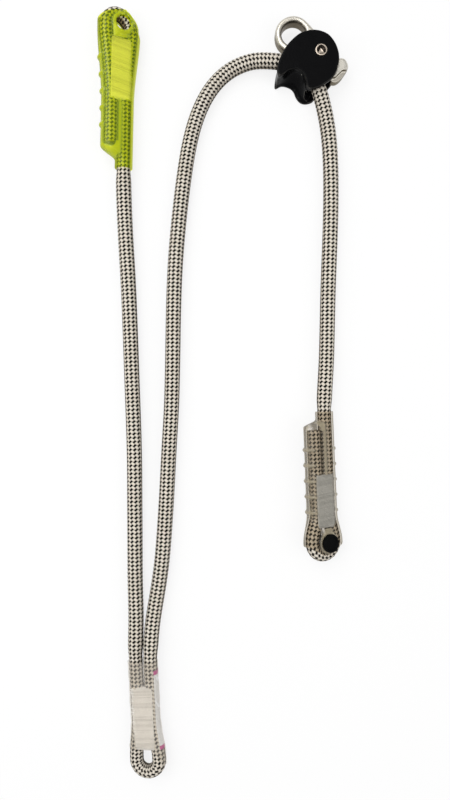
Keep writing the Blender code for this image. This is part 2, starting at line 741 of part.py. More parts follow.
def in_frame(frame, point):
    """A point of a frame, in the layout."""
    turn = Euler(frame.rotation_euler).to_matrix()
    return Vector(frame.location) + turn @ Vector(point)


def cord(name, route, start, start_step, end, end_step, parent, material):
    """A free length of rope: it leaves each end straight and lies on the floor between them."""
    floor = ROPE_RADIUS + FLOOR_GAP
    points = [start, start + start_step]
    for x, y in route:
        points.append(Vector((x * MM, y * MM, floor)))
    points += [end + end_step, end]
    points[2].z = max(floor, floor + (start.z - floor) * 0.35)
    points[-3].z = max(floor, floor + (end.z - floor) * 0.35)
    line = smooth_route(points, CORD_POINT_SPACING)
    line = [start, start + start_step * 0.5, *line[1:-1], end + end_step * 0.5, end]
    tube = tube_data(name, [line], ROPE_RADIUS, resolution=CORD_SIDES_RESOLUTION)
    add_object(name, tube, parent, material)


def adjuster_outline(scoop, inset):
    """The body's outline with one of its two scoop edges, drawn in by an inset, about the pivot."""
    points = smooth_closed([(x * MM, y * MM) for x, y in SHARED_OUTLINE + scoop], OUTLINE_STEPS)
    count = len(points)
    line = []
    for index, (x, y) in enumerate(points):
        before = Vector(points[index - 1])
        after = Vector(points[(index + 1) % count])
        along = (after - before).normalized()
        line.append((x + along.y * inset, y - along.x * inset))
    return line


def held_rope_points():
    floor = ROPE_RADIUS + FLOOR_GAP
    return [Vector((x * MM, y * MM, floor + (MID_HEIGHT - floor) * share)) for x, y, share in HELD_ROPE]


def saddle_line():
    """The web's edge along the rope: the rope's centre line moved inwards, then flared at the mouth."""
    rope = held_rope_points()
    reach = ROPE_RADIUS + SADDLE_GAP
    line = [(rope[SADDLE_FIRST].x - 2 * ROPE_RADIUS, rope[SADDLE_FIRST].y - reach)]
    for index in range(SADDLE_FIRST, SADDLE_LAST):
        along = (rope[index + 1] - rope[index - 1]).normalized()
        line.append((rope[index].x + along.y * reach, rope[index].y - along.x * reach))
    return line + [(x * MM, y * MM) for x, y in MOUTH_FLARE]


def adjuster_body(parent, material):
    """Two cheeks joined by a web that the rope bends round; the web's outside is a thumb scoop."""
    levels = [
        (BACK_SCOOP, EDGE_CHAMFER, 0.0),
        (BACK_SCOOP, 0.0, EDGE_CHAMFER),
        (BACK_SCOOP, 0.0, PLATE_THICKNESS - EDGE_CHAMFER),
        (FRONT_SCOOP, 0.0, BODY_HEIGHT - 2 * EDGE_CHAMFER),
        (FRONT_SCOOP, 0.0, BODY_HEIGHT - EDGE_CHAMFER),
        (FRONT_SCOOP, EDGE_CHAMFER, BODY_HEIGHT),
    ]
    rings = [[(x, y, height) for x, y in adjuster_outline(scoop, inset)] for scoop, inset, height in levels]
    body = add_object("adjuster_body", loft_data("adjuster_body", rings), parent, material)
    leg_end = COIL_BOTTOM - WIRE_RADIUS - LEG_LENGTH - CLEARANCE
    past_top = BODY_HEIGHT + MM
    holes = [
        ("front_bolt_hole", BOLT_RADIUS + CLEARANCE, MID_HEIGHT, past_top, 32, 0.0),
        ("bolt_head_recess", BOLT_HEAD_RADIUS + CLEARANCE, BODY_HEIGHT - BOLT_HEAD_RECESS, past_top, 40, 0.0),
        ("spring_hole", WIRE_RADIUS + CLEARANCE, leg_end, MID_HEIGHT, 12, COIL_RADIUS),
    ]
    for name, radius, bottom, top, sides, aside in holes:
        tool = add_object(name, cylinder_data(name, radius, top - bottom, sides), parent)
        tool.location = (aside, 0.0, (bottom + top) / 2)
        combine(body, tool)
    nut_hole = cylinder_data("nut_hole", NUT_RADIUS + CLEARANCE, BODY_HEIGHT, 32)
    combine(body, add_object("nut_hole", nut_hole, parent))
    nut_recess = cylinder_data("nut_recess", NUT_FLANGE + CLEARANCE, 2 * (FLANGE_THICKNESS + CLEARANCE), 40)
    combine(body, add_object("nut_recess", nut_recess, parent))
    saddle = saddle_line()
    slot = saddle + [(BODY_REACH, saddle[-1][1]), (BODY_REACH, BODY_REACH)]
    slot += [(-BODY_REACH, BODY_REACH), (-BODY_REACH, saddle[0][1])]
    slot_tool = add_object("adjuster_slot", outline_data("adjuster_slot", [slot], CHANNEL_WIDTH / 2), parent)
    slot_tool.location.z = MID_HEIGHT
    combine(body, as_mesh(slot_tool))
    shade_round(body)


def nose_radius():
    """How far the cam may reach from its pivot before it meets the rope."""
    line = smooth_route(held_rope_points(), ROPE_RADIUS / 5)
    nearest = min(math.hypot(point.x, point.y) for point in line)
    return nearest - ROPE_RADIUS - CLEARANCE


def ring_points(centre, radius, steps, first=0.0, last=360.0):
    """Points on an arc or a circle, both ends included."""
    angles = [math.radians(first + (last - first) * step / steps) for step in range(steps + 1)]
    return [(centre[0] + radius * math.cos(angle), centre[1] + radius * math.sin(angle)) for angle in angles]


def cam_outline():
    """Anticlockwise: the gripping nose, the release tail and the ring of the attachment eye."""
    nose = nose_radius()
    line = []
    for degrees, rise in NOSE_SHAPE:
        reach = nose + NOSE_RISE * rise
        angle = math.radians(degrees)
        line.append((reach * math.cos(angle), reach * math.sin(angle)))
    line += [(x * MM, y * MM) for x, y in CAM_TAIL]
    return line + ring_points(CAM_EYE, CAM_EYE_OUTER, 24, *CAM_EYE_ARC)


def cam(parent, material):
    """Attachment eye, gripping nose and release tail, forged in one piece."""
    hole = ring_points(CAM_EYE, CAM_EYE_HOLE, 32)[:-1]
    half = (CAM_TOP - CAM_BOTTOM) / 2
    made = add_object("cam", outline_data("cam", [cam_outline(), hole], half), parent, material)
    made.location.z = CAM_BOTTOM + half
    made = as_mesh(made)
    edge = made.modifiers.new("edges", "BEVEL")
    edge.width = CAM_EDGE
    edge.segments = 2
    edge.limit_method = "ANGLE"
    edge.angle_limit = math.radians(60)
    bore = add_object("cam_bore", cylinder_data("cam_bore", CAM_BORE, BODY_HEIGHT, 32), parent)
    bore.location.z = MID_HEIGHT
    combine(made, bore)
    pocket_ring = [(POCKET_OUTER, 1.0), (POCKET_OUTER, -1.0), (POCKET_INNER, -1.0), (POCKET_INNER, 1.0)]
    profile = [(radius, POCKET_DEPTH * side) for radius, side in pocket_ring]
    pocket = turned("spring_pocket", profile, (0.0, 0.0, CAM_BOTTOM), parent, None, closed=True, steps=32)
    combine(made, pocket)
    end_angle = 2 * math.pi * COIL_TURNS
    leg_depth = LEG_LENGTH + 2 * WIRE_RADIUS + CLEARANCE
    leg_data = cylinder_data("spring_leg_hole", WIRE_RADIUS + CLEARANCE, 2 * leg_depth, 12)
    leg = add_object("spring_leg_hole", leg_data, parent)
    leg.location = (COIL_RADIUS * math.cos(end_angle), COIL_RADIUS * math.sin(end_angle), COIL_TOP)
    combine(made, leg)


def cam_spring(parent, material):
    """A torsion spring round the cam's hub, with one leg in the back cheek and one in the cam."""
    count = round(COIL_TURNS * COIL_POINTS)
    coil = []
    for step in range(count + 1):
        angle = 2 * math.pi * COIL_TURNS * step / count
        height = COIL_BOTTOM + (COIL_TOP - COIL_BOTTOM) * step / count
        coil.append(Vector((COIL_RADIUS * math.cos(angle), COIL_RADIUS * math.sin(angle), height)))
    corner = WIRE_RADIUS
    points = [coil[0] - Vector((0, 0, LEG_LENGTH + corner)), coil[0] - Vector((0, 0, corner))]
    points += [coil[0].lerp(coil[1], 0.35)]
    points += coil[1:-1]
    points += [coil[-1].lerp(coil[-2], 0.35)]
    points += [coil[-1] + Vector((0, 0, corner)), coil[-1] + Vector((0, 0, LEG_LENGTH + corner))]
    least = min(
        (first - second).length
        for index, first in enumerate(coil)
        for second in coil[index + COIL_POINTS // 2 :]
    )
    print("least gap between spring turns, mm:", round((least - 2 * WIRE_RADIUS) / MM, 3))
    add_object("cam_spring", tube_data("cam_spring", [points], WIRE_RADIUS, resolution=1), parent, material)


def axle_pieces(parent, steel, bronze):
    """The bolt, the sleeve nut it screws into, the cam's bush and a thrust washer each side."""
    head_top = BODY_HEIGHT - BOLT_HEAD_RECESS + CLEARANCE + BOLT_HEAD_HEIGHT
    head_bottom = head_top - BOLT_HEAD_HEIGHT
    bolt_profile = [
        (0.0, head_top),
        (BOLT_HEAD_RADIUS - 2 * BOLT_HEAD_CROWN, head_top),
        (BOLT_HEAD_RADIUS, head_top - BOLT_HEAD_CROWN),
        (BOLT_HEAD_RADIUS, head_bottom),
        (BOLT_RADIUS, head_bottom),
        (BOLT_RADIUS, PLATE_THICKNESS),
        (0.0, PLATE_THICKNESS),
    ]
    bolt = turned("axle_bolt", bolt_profile, (0.0, 0.0, 0.0), parent, steel, steps=32)
    drive = add_object("bolt_drive", cylinder_data("bolt_drive", DRIVE_RADIUS, 2 * DRIVE_DEPTH, 3), parent)
    drive.location.z = head_top
    combine(bolt, drive)
    inner = BOLT_RADIUS + CLEARANCE
    sleeve_top = BODY_HEIGHT - PLATE_THICKNESS - CLEARANCE
    nut_profile = [
        (NUT_RADIUS, sleeve_top),
        (NUT_RADIUS, FLANGE_THICKNESS),
        (NUT_FLANGE, FLANGE_THICKNESS),
        (NUT_FLANGE, 0.0),
        (inner, 0.0),
        (inner, sleeve_top),
    ]
    turned("axle_sleeve_nut", nut_profile, (0.0, 0.0, 0.0), parent, steel, closed=True, steps=32)
    bush_profile = [
        (BUSH_OUTER, CAM_TOP), (BUSH_OUTER, CAM_BOTTOM), (BUSH_INNER, CAM_BOTTOM), (BUSH_INNER, CAM_TOP),
    ]
    turned("cam_bush", bush_profile, (0.0, 0.0, 0.0), parent, bronze, closed=True, steps=32)
    washers = (
        ("front_washer", BODY_HEIGHT - PLATE_THICKNESS - CAM_SIDE_GAP, POCKET_OUTER),
        ("back_washer", PLATE_THICKNESS + CAM_SIDE_GAP + WASHER_THICKNESS, POCKET_INNER - WASHER_EDGE_GAP),
    )
    for name, top, outer in washers:
        bottom = top - WASHER_THICKNESS
        profile = [(outer, top), (outer, bottom), (BUSH_INNER, bottom), (BUSH_INNER, top)]
        turned(name, profile, (0.0, 0.0, 0.0), parent, bronze, closed=True, steps=32)


def build():
    remove_everything()
    rope = paint("kernmantle_rope", (0.70, 0.67, 0.60), 0.85)
    thread = paint("sewing_thread", (0.60, 0.56, 0.50), 0.7)
    lime = paint("lime_sleeve", (0.55, 0.62, 0.02), 0.35)
    clear = paint("clear_sleeve", (0.45, 0.41, 0.34), 0.35)
    paper = paint("label_strip", (0.75, 0.75, 0.75), 0.5)
    rubber = paint("black_rubber", (0.01, 0.01, 0.01), 0.6)
    black = paint("black_anodised_aluminium", (0.015, 0.015, 0.017), 0.35, 0.8)
    silver = paint("satin_aluminium", (0.62, 0.58, 0.50), 0.3, 1.0)
    steel = paint("stainless_steel", (0.55, 0.50, 0.44), 0.25, 1.0)
    bronze = paint("bearing_bronze", (0.45, 0.27, 0.10), 0.4, 1.0)
    wire = paint("spring_steel", (0.30, 0.30, 0.30), 0.3, 1.0)

    layout = add_frame("layout", LAYOUT_ORIGIN, (0.0, 0.0, 0.0), None)

    fixed_height = rest_height(FIXED_ROLL, (MOULDED_EYE_BEND, SLEEVE_OUTER))
    fixed = end_frame("fixed_end", FIXED_EYE, FIXED_HEADING, FIXED_ROLL, fixed_height, layout)
    stitch_end = STITCH_START + FIXED_STITCH_LENGTH
    tail_end = stitch_end + FIXED_TAIL_PAST_STITCH
    collar_end = tail_end + TAIL_WALL + FIXED_TAPER + FIXED_COLLAR
    fixed_rope_end = collar_end + FLARE_LENGTH
    line = eye_rope("fixed_end_eye_rope", fixed, FIXED_STRANDS, fixed_rope_end, tail_end, -1, False, rope)
    stitching("fixed_end_stitching", fixed, FIXED_STRANDS, STITCH_START, stitch_end, thread)
    moulded_sleeve(
        "fixed_end_sleeve", fixed, FIXED_STRANDS, -1, (stitch_end, tail_end, collar_end), FIXED_TAPER,
        (FIXED_RIB_START, FIXED_RIB_PITCH), line, lime,
    )

    free_height = rest_height(FREE_ROLL, (MOULDED_EYE_BEND, SLEEVE_OUTER))
    free = end_frame("free_end", FREE_EYE, FREE_HEADING, FREE_ROLL, free_height, layout)
    stitch_end = STITCH_START + FREE_STITCH_LENGTH
    tail_end = stitch_end + FREE_TAIL_PAST_STITCH
    collar_end = tail_end + TAIL_WALL + FREE_TAPER + FREE_COLLAR
    free_rope_end = collar_end + FLARE_LENGTH
    line = eye_rope("free_end_eye_rope", free, FREE_STRANDS, free_rope_end, tail_end, 1, False, rope)
    stitching("free_end_stitching", free, FREE_STRANDS, STITCH_START, stitch_end, thread)
    moulded_sleeve(
        "free_end_sleeve", free, FREE_STRANDS, 1, (stitch_end, tail_end, collar_end), FREE_TAPER,
        (FREE_RIB_START, FREE_RIB_PITCH), line, clear,
    )
    eye_plug("free_end_eye_plug", free, rubber)

    sleeve_edge = (strand_offset(HARNESS_CUT_LEFT, HARNESS_STRANDS), HARNESS_SLEEVE_HIGH)
    harness_height = rest_height(HARNESS_ROLL, (HARNESS_BEND, STRAND_RADIUS), sleeve_edge)
    harness = end_frame("harness_end", HARNESS_EYE, HARNESS_HEADING, HARNESS_ROLL, harness_height, layout)
    rope_end = HARNESS_ROPE_END
    eye_rope("harness_eye_rope", harness, HARNESS_STRANDS, rope_end, rope_end, 1, True, rope)
    stitching(
        "harness_stitching", harness, HARNESS_STRANDS, HARNESS_STITCH_START, HARNESS_STITCH_END, thread
    )
    harness_sleeve("harness_sleeve", harness, clear)
    harness_label("harness_label", harness, paper)

    adjuster = add_frame("adjuster", (*PIVOT, 0.0), (0.0, 0.0, 0.0), layout)
    adjuster_body(adjuster, black)
    axle_pieces(adjuster, steel, bronze)
    cam(adjuster, silver)
    cam_spring(adjuster, wire)
    held = smooth_route(held_rope_points(), HELD_ROPE_SPACING)
    add_object("adjuster_rope", tube_data("adjuster_rope", [held], ROPE_RADIUS), adjuster, rope)

    def leaving(frame, x, along):
        start = in_frame(frame, (x, along + CLEARANCE, 0.0))
        return start, in_frame(frame, (x, along + CLEARANCE + CORD_STRAIGHT_START, 0.0)) - start

    pivot = Vector((*PIVOT, 0.0))
    entry = (held[0] - held[1]).normalized()
    outlet = (held[-1] - held[-2]).normalized()
    fixed_exit = leaving(fixed, -STRAND_OFFSET, fixed_rope_end)
    free_exit = leaving(free, STRAND_OFFSET, free_rope_end)
    left_exit = leaving(harness, -SPREAD_OFFSET, HARNESS_ROPE_END)
    right_exit = leaving(harness, SPREAD_OFFSET, HARNESS_ROPE_END)
    entry_exit = (pivot + held[0] + entry * CLEARANCE, entry * CORD_STRAIGHT_START)
    outlet_exit = (pivot + held[-1] + outlet * CLEARANCE, outlet * CORD_STRAIGHT_START)
    cord("fixed_arm_rope", FIXED_ARM_ROUTE, *left_exit, *fixed_exit, layout, rope)
    cord("adjustable_arm_rope", ADJUSTABLE_ARM_ROUTE, *right_exit, *entry_exit, layout, rope)
    cord("tail_rope", TAIL_ROUTE, *outlet_exit, *free_exit, layout, rope)


build()
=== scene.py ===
"""Adjustable y-lanyard: the finish of every piece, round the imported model. Metres, +Z up."""
import functools
import math

import bmesh
import bpy
import numpy as np
from mathutils import Euler, Matrix, Vector
from mathutils.kdtree import KDTree


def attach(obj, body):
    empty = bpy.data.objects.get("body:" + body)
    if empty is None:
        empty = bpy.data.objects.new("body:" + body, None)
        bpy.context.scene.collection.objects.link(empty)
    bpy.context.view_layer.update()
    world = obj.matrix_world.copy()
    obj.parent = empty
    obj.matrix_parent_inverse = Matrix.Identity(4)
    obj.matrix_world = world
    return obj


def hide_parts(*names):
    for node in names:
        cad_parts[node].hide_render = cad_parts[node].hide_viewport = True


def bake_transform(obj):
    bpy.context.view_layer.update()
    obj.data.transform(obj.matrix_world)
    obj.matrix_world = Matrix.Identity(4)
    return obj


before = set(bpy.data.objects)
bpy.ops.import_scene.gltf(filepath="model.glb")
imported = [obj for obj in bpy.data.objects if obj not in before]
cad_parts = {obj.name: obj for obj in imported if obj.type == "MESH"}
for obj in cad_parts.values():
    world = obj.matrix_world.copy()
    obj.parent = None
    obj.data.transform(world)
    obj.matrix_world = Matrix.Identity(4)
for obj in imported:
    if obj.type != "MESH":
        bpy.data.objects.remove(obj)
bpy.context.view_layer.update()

# Camera: straight above the layout's middle, as a product photograph is taken.
# The height and the lens follow from how the raised adjuster shifts against the rope on the floor.
MM = 0.001
LAYOUT = Vector((1.53 * MM, -5.06 * MM, 0.0))
CAMERA_HEIGHT = 0.509
CAMERA_LENS = 31.5


def linked(name, data):
    """A new object in the scene."""
    made = bpy.data.objects.new(name, data)
    bpy.context.collection.objects.link(made)
    return made


camera = linked("camera", bpy.data.cameras.new("camera"))
camera.location = LAYOUT + Vector((0.0, 0.0, CAMERA_HEIGHT))
camera.data.lens = CAMERA_LENS
camera.data.clip_start = 0.01
bpy.context.scene.camera = camera
bpy.context.scene.view_settings.view_transform = "Standard"


# Rope: one 11 mm kernmantle rope runs through the whole lanyard, from its cut end beside the fixed eye
# to its cut end beside the free eye. Its sheath is braided from 20 strands, cream one way and with black
# strands the other way, so that each black strand shows as a slanted fleck where it crosses over.
ROPE_RADIUS = 5.5 * MM
STRAND_RADIUS = 4.9 * MM
STRAND_OFFSET = 5.35 * MM
SPREAD_OFFSET = 5.6 * MM
NESTLE = 0.9 * MM
NESTLE_START, NESTLE_LENGTH = 4 * MM, 16 * MM
FLARE_LENGTH = 5.0 * MM
CLEARANCE = 0.3 * MM
FLOOR_HEIGHT = 5.6 * MM
LANDING = 0.35
SLEEVE_RADIUS = 6.4 * MM
MOULDED_BEND = 9.2 * MM
TAIL_WALL = 1.5 * MM
PULL_START, PULL_PEAK, PULL_STOP = 45, 140, 210

FIXED = {
    "eye": (-75.4, 266.3), "heading": -91.25, "roll": -22.0, "height": 9.846 * MM, "side": -1,
    "bend": MOULDED_BEND, "eye_taper": 55.0 * MM, "stitch_start": 10.5 * MM, "stitch_end": 53.5 * MM,
    "pull": 2.6 * MM, "tail_end": 83.5 * MM, "taper": 12.0 * MM, "collar_end": 100.9 * MM,
}
FREE = {
    "eye": (69.8, -100.7), "heading": 92.3, "roll": 28.0, "height": 10.719 * MM, "side": 1,
    "bend": MOULDED_BEND, "eye_taper": 20.0 * MM, "stitch_start": 10.5 * MM, "stitch_end": 47.9 * MM,
    "pull": 0.0, "tail_end": 79.4 * MM, "taper": 7.0 * MM, "collar_end": 92.5 * MM,
}
HARNESS = {
    "eye": (-55.1, -257.1), "heading": 92.9, "roll": -10.0, "height": 7.87 * MM, "side": 1,
    "bend": 8.3 * MM, "eye_taper": 30.0 * MM, "stitch_start": 9.0 * MM, "stitch_end": 52.6 * MM,
    "pull": 0.0, "sleeve_end": 70.8 * MM, "rope_end": 77.8 * MM,
}
PIVOT = LAYOUT + Vector((67.3 * MM, 244.7 * MM, 0.0))
BODY_HEIGHT = 19.4 * MM
MID_HEIGHT = BODY_HEIGHT / 2

# Centre lines seen from above, in millimetres from the layout's middle
FIXED_ARM_ROUTE = [
    (-63.7, -158.0), (-64.6, -132.0), (-64.7, -104.3), (-64.9, -72.0), (-65.1, -39.6), (-66.5, 3.6),
    (-67.3, 25.2), (-68.0, 46.8), (-69.8, 89.9), (-71.2, 111.5), (-72.2, 133.1), (-72.6, 145.0),
]
ADJUSTABLE_ARM_ROUTE = [
    (-52.0, -158.2), (-49.6, -145.0), (-47.6, -133.0), (-45.3, -117.0), (-43.5, -93.5),
    (-42.1, -71.9), (-39.9, -28.8), (-38.5, -7.2), (-37.6, 29.0), (-36.9, 70.0), (-35.6, 100.7),
    (-33.8, 122.3), (-31.4, 145.0), (-28.6, 166.5), (-24.8, 188.5), (-20.7, 203.0), (-15.8, 214.8),
    (-9.2, 225.9), (-2.2, 233.2), (6.5, 239.6),
]
TAIL_ROUTE = [
    (73.4, 199.5), (75.0, 187.0), (75.9, 172.0), (76.2, 150.0), (75.9, 128.0), (75.2, 108.0),
    (74.1, 79.1), (73.4, 46.8), (72.7, 25.2),
]
# In millimetres from the pivot, and as a share of the way up from the floor to the channel's middle
HELD_ROPE = [
    (-47.3, -1.1, 0.40), (-38.8, -2.0, 0.66), (-30.3, -3.2, 0.92), (-23.8, -4.4, 1.0),
    (-17.7, -6.4, 1.0), (-12.5, -9.2, 1.0), (-8.1, -12.8, 1.0), (-3.9, -16.5, 1.0),
    (-1.3, -20.7, 1.0), (0.5, -25.3, 0.95), (2.1, -30.1, 0.75), (3.0, -33.4, 0.60),
]


def laid(x, y, z=0.0):
    """A point given in millimetres from the layout's middle, in the model."""
    return LAYOUT + Vector((x * MM, y * MM, z))


def around(radius, angle):
    """The point of a circle at an angle, (across, along)."""
    return radius * math.cos(angle), radius * math.sin(angle)


def smooth_share(share):
    """Goes smoothly from 0 to 1."""
    share = min(max(share, 0.0), 1.0)
    return share * share * (3.0 - 2.0 * share)


def spline_point(before, start, end, after, share):
    """A point on the smooth curve between start and end."""
    knots = [0.0]
    points = (before, start, end, after)
    for first, second in zip(points, points[1:]):
        knots.append(knots[-1] + max((second - first).length, 1e-9) ** 0.5)
    at = knots[1] + (knots[2] - knots[1]) * share
    level = list(points)
    for depth in range(1, 4):
        for index in range(4 - depth):
            low = knots[index] if depth < 3 else knots[1]
            high = knots[index + depth] if depth < 3 else knots[2]
            level[index] = level[index].lerp(level[index + 1], (at - low) / (high - low))
    return level[0]


def smooth_line(points, steps=10):
    """A smooth line through the points."""
    ends = [2 * points[0] - points[1], *points, 2 * points[-1] - points[-2]]
    line = []
    for index in range(len(points) - 1):
        line += [spline_point(*ends[index : index + 4], step / steps) for step in range(steps)]
    return line + [points[-1]]


def end_place(end):
    """Matrix and middle of a sewn end, which lies rolled about its rope with its lower edge down."""
    turn = Euler((0.0, math.radians(end["roll"]), math.radians(end["heading"] - 90))).to_matrix()
    return turn, laid(*end["eye"], end["height"])


def at_end(end, point):
    """A point beside a sewn end's eye, (across, along, up), in the model."""
    turn, middle = end_place(end)
    return middle + turn @ Vector(point)


def strand_offset(along, end):
    """How far a strand's centre lies from the sewn end's middle line."""
    return end["bend"] + (STRAND_OFFSET - end["bend"]) * smooth_share(along / end["eye_taper"])


def pulled(end, across, along):
    """A point of an end's centre line, as it lies in its mould.

    The eye was pulled out of round on one side, and a moulded end's tail is pressed to the main strand.
    """
    angle = math.degrees(math.atan2(-along, across)) % 360
    share = smooth_share((angle - PULL_START) / (PULL_PEAK - PULL_START))
    share *= 1 - smooth_share((angle - PULL_PEAK) / (PULL_STOP - PULL_PEAK))
    scale = 1 - end["pull"] * share / end["bend"]
    if "tail_end" in end and across * end["side"] < 0:
        across += end["side"] * NESTLE * smooth_share((along - NESTLE_START) / NESTLE_LENGTH)
    return across * scale, along * scale, 0.0


def strand(end, side, length, spread=False):
    """Centre line of one strand, from its end to where the eye's bend starts; spread flares its end."""
    line = []
    if spread:
        line += [(side * SPREAD_OFFSET, length), (side * SPREAD_OFFSET, length - FLARE_LENGTH / 3)]
        length -= FLARE_LENGTH
    taper = end["eye_taper"]
    line += [(side * STRAND_OFFSET, length + (taper - length) * step / 4) for step in range(4)]
    for step in range(8):
        along = taper * (1 - step / 8)
        line.append((side * strand_offset(along, end), along))
    return [at_end(end, pulled(end, across, along)) for across, along in line]


def eye_bend(end, side):
    """Centre line of the eye's half turn, without its first and last point."""
    line = []
    for step in range(1, 16):
        angle = math.pi * step / 16
        line.append(pulled(end, side * end["bend"] * math.cos(angle), -end["bend"] * math.sin(angle)))
    return [at_end(end, point) for point in line]


def floor_route(route, start, end):
    """A free length of rope, which comes down from each end and lies on the floor between them."""
    points = [start, *(laid(x, y, FLOOR_HEIGHT) for x, y in route), end]
    points[1].z = max(FLOOR_HEIGHT, FLOOR_HEIGHT + (start.z - FLOOR_HEIGHT) * LANDING)
    points[-2].z = max(FLOOR_HEIGHT, FLOOR_HEIGHT + (end.z - FLOOR_HEIGHT) * LANDING)
    return points


fixed_rope_end = FIXED["collar_end"] + FLARE_LENGTH
free_rope_end = FREE["collar_end"] + FLARE_LENGTH
held = []
for x, y, share in HELD_ROPE:
    held.append(PIVOT + Vector((x * MM, y * MM, FLOOR_HEIGHT + (MID_HEIGHT - FLOOR_HEIGHT) * share)))
entry = (held[0] - held[1]).normalized()
outlet = (held[-1] - held[-2]).normalized()
fixed_start = at_end(FIXED, (-STRAND_OFFSET, fixed_rope_end + CLEARANCE, 0.0))
left_start = at_end(HARNESS, (-SPREAD_OFFSET, HARNESS["rope_end"] + CLEARANCE, 0.0))
right_start = at_end(HARNESS, (SPREAD_OFFSET, HARNESS["rope_end"] + CLEARANCE, 0.0))
free_start = at_end(FREE, (STRAND_OFFSET, free_rope_end + CLEARANCE, 0.0))

fixed_eye = strand(FIXED, 1, FIXED["tail_end"]) + eye_bend(FIXED, 1)
fixed_eye += strand(FIXED, -1, fixed_rope_end)[::-1]
fixed_arm = floor_route(FIXED_ARM_ROUTE, left_start, fixed_start)[::-1]
harness_eye = strand(HARNESS, -1, HARNESS["rope_end"], True) + eye_bend(HARNESS, -1)
harness_eye += strand(HARNESS, 1, HARNESS["rope_end"], True)[::-1]
adjustable_arm = floor_route(ADJUSTABLE_ARM_ROUTE, right_start, held[0] + entry * CLEARANCE)
tail = floor_route(TAIL_ROUTE, held[-1] + outlet * CLEARANCE, free_start)
free_eye = strand(FREE, 1, free_rope_end) + eye_bend(FREE, 1) + strand(FREE, -1, FREE["tail_end"])[::-1]

PICK_LENGTH = 2.85 * MM
PICKS_AROUND = 10
RINGS_PER_PICK = 6
BRAID_DEPTH = 0.42 * MM
TWIST = 4.0
SQUEEZE_LENGTH = 6.0 * MM
EASE_LENGTH = 25.0 * MM
EASE_START = 0.6
EVEN_WINDOW, EASE_WINDOW = 9, 81

# One centre line for the whole rope, read at even steps, so that the braid runs on from piece to piece
stretches = [
    ("fixed_end_eye_rope", fixed_eye, STRAND_RADIUS),
    ("fixed_arm_rope", fixed_arm, ROPE_RADIUS),
    ("harness_eye_rope", harness_eye, STRAND_RADIUS),
    ("adjustable_arm_rope", adjustable_arm, ROPE_RADIUS),
    ("adjuster_rope", held, ROPE_RADIUS),
    ("tail_rope", tail, ROPE_RADIUS),
    ("free_end_eye_rope", free_eye, STRAND_RADIUS),
]
free_lengths = ("fixed_arm_rope", "adjustable_arm_rope", "tail_rope")
rope_line = []
rope_radius = []
rope_starts = []
for name, points, radius in stretches:
    line = smooth_line(points)
    rope_starts.append(len(rope_line))
    rope_line += line
    rope_radius += [radius] * len(line)
rope_ends = [*rope_starts[1:], len(rope_line) - 1]
dense = np.array([tuple(point) for point in rope_line])
reach = np.concatenate(([0.0], np.cumsum(np.linalg.norm(np.diff(dense, axis=0), axis=1))))
ring_step = PICK_LENGTH / RINGS_PER_PICK
ring_at = np.arange(0.0, reach[-1], ring_step)
centres = np.stack([np.interp(ring_at, reach, dense[:, axis]) for axis in range(3)], axis=1)
free_share = np.zeros(len(ring_at))
for (name, points, radius), start, end in zip(stretches, rope_starts, rope_ends):
    if name in free_lengths:
        inside = np.minimum(ring_at - reach[start], reach[end] - ring_at) / EASE_LENGTH + EASE_START
        free_share = np.maximum(free_share, np.clip(inside, 0.0, 1.0))


def averaged(values, weights, **padding):
    """The values, each averaged with its neighbours by the weights."""
    padded = np.pad(values, len(weights) // 2, **padding)
    return np.convolve(padded, weights / weights.sum(), mode="valid")


everywhere = np.ones(len(ring_at))
for window, share in ((EVEN_WINDOW, everywhere), (EASE_WINDOW, free_share), (EASE_WINDOW, free_share)):
    weights = np.hanning(window + 2)[1:-1]
    for axis in range(3):
        eased = averaged(centres[:, axis], weights, mode="reflect", reflect_type="odd")
        centres[:, axis] += (eased - centres[:, axis]) * share
squeeze = np.hanning(2 * round(SQUEEZE_LENGTH / ring_step) + 1)
radii = averaged(np.interp(ring_at, reach, rope_radius), squeeze, mode="edge")

tangents = np.gradient(centres, axis=0)
tangents /= np.linalg.norm(tangents, axis=1)[:, None]
normals = np.zeros_like(tangents)
normals[0] = (0.0, 0.0, 1.0)
for index in range(1, len(tangents)):
    side = normals[index - 1] - tangents[index] * (normals[index - 1] @ tangents[index])
    normals[index] = side / np.linalg.norm(side)
binormals = np.cross(tangents, normals)


def pick_height(across, along):
    """Height from 0 to 1 of the braid's two families of crossing strands, in cells of one pick."""
    height = np.zeros_like(across)
    for shift, lean, long, wide in ((0.0, 1.0, 0.50, 0.33), (0.5, -1.0, 0.60, 0.46)):
        a = (across + shift) % 1.0 - 0.5
        b = (along + shift) % 1.0 - 0.5
        length = (a * lean + b) * math.sqrt(0.5) / long
        width = (a - b * lean) * math.sqrt(0.5) / wide
        height = np.maximum(height, np.sqrt(np.clip(1.0 - length**2 - width**2, 0.0, 1.0)))
    return height


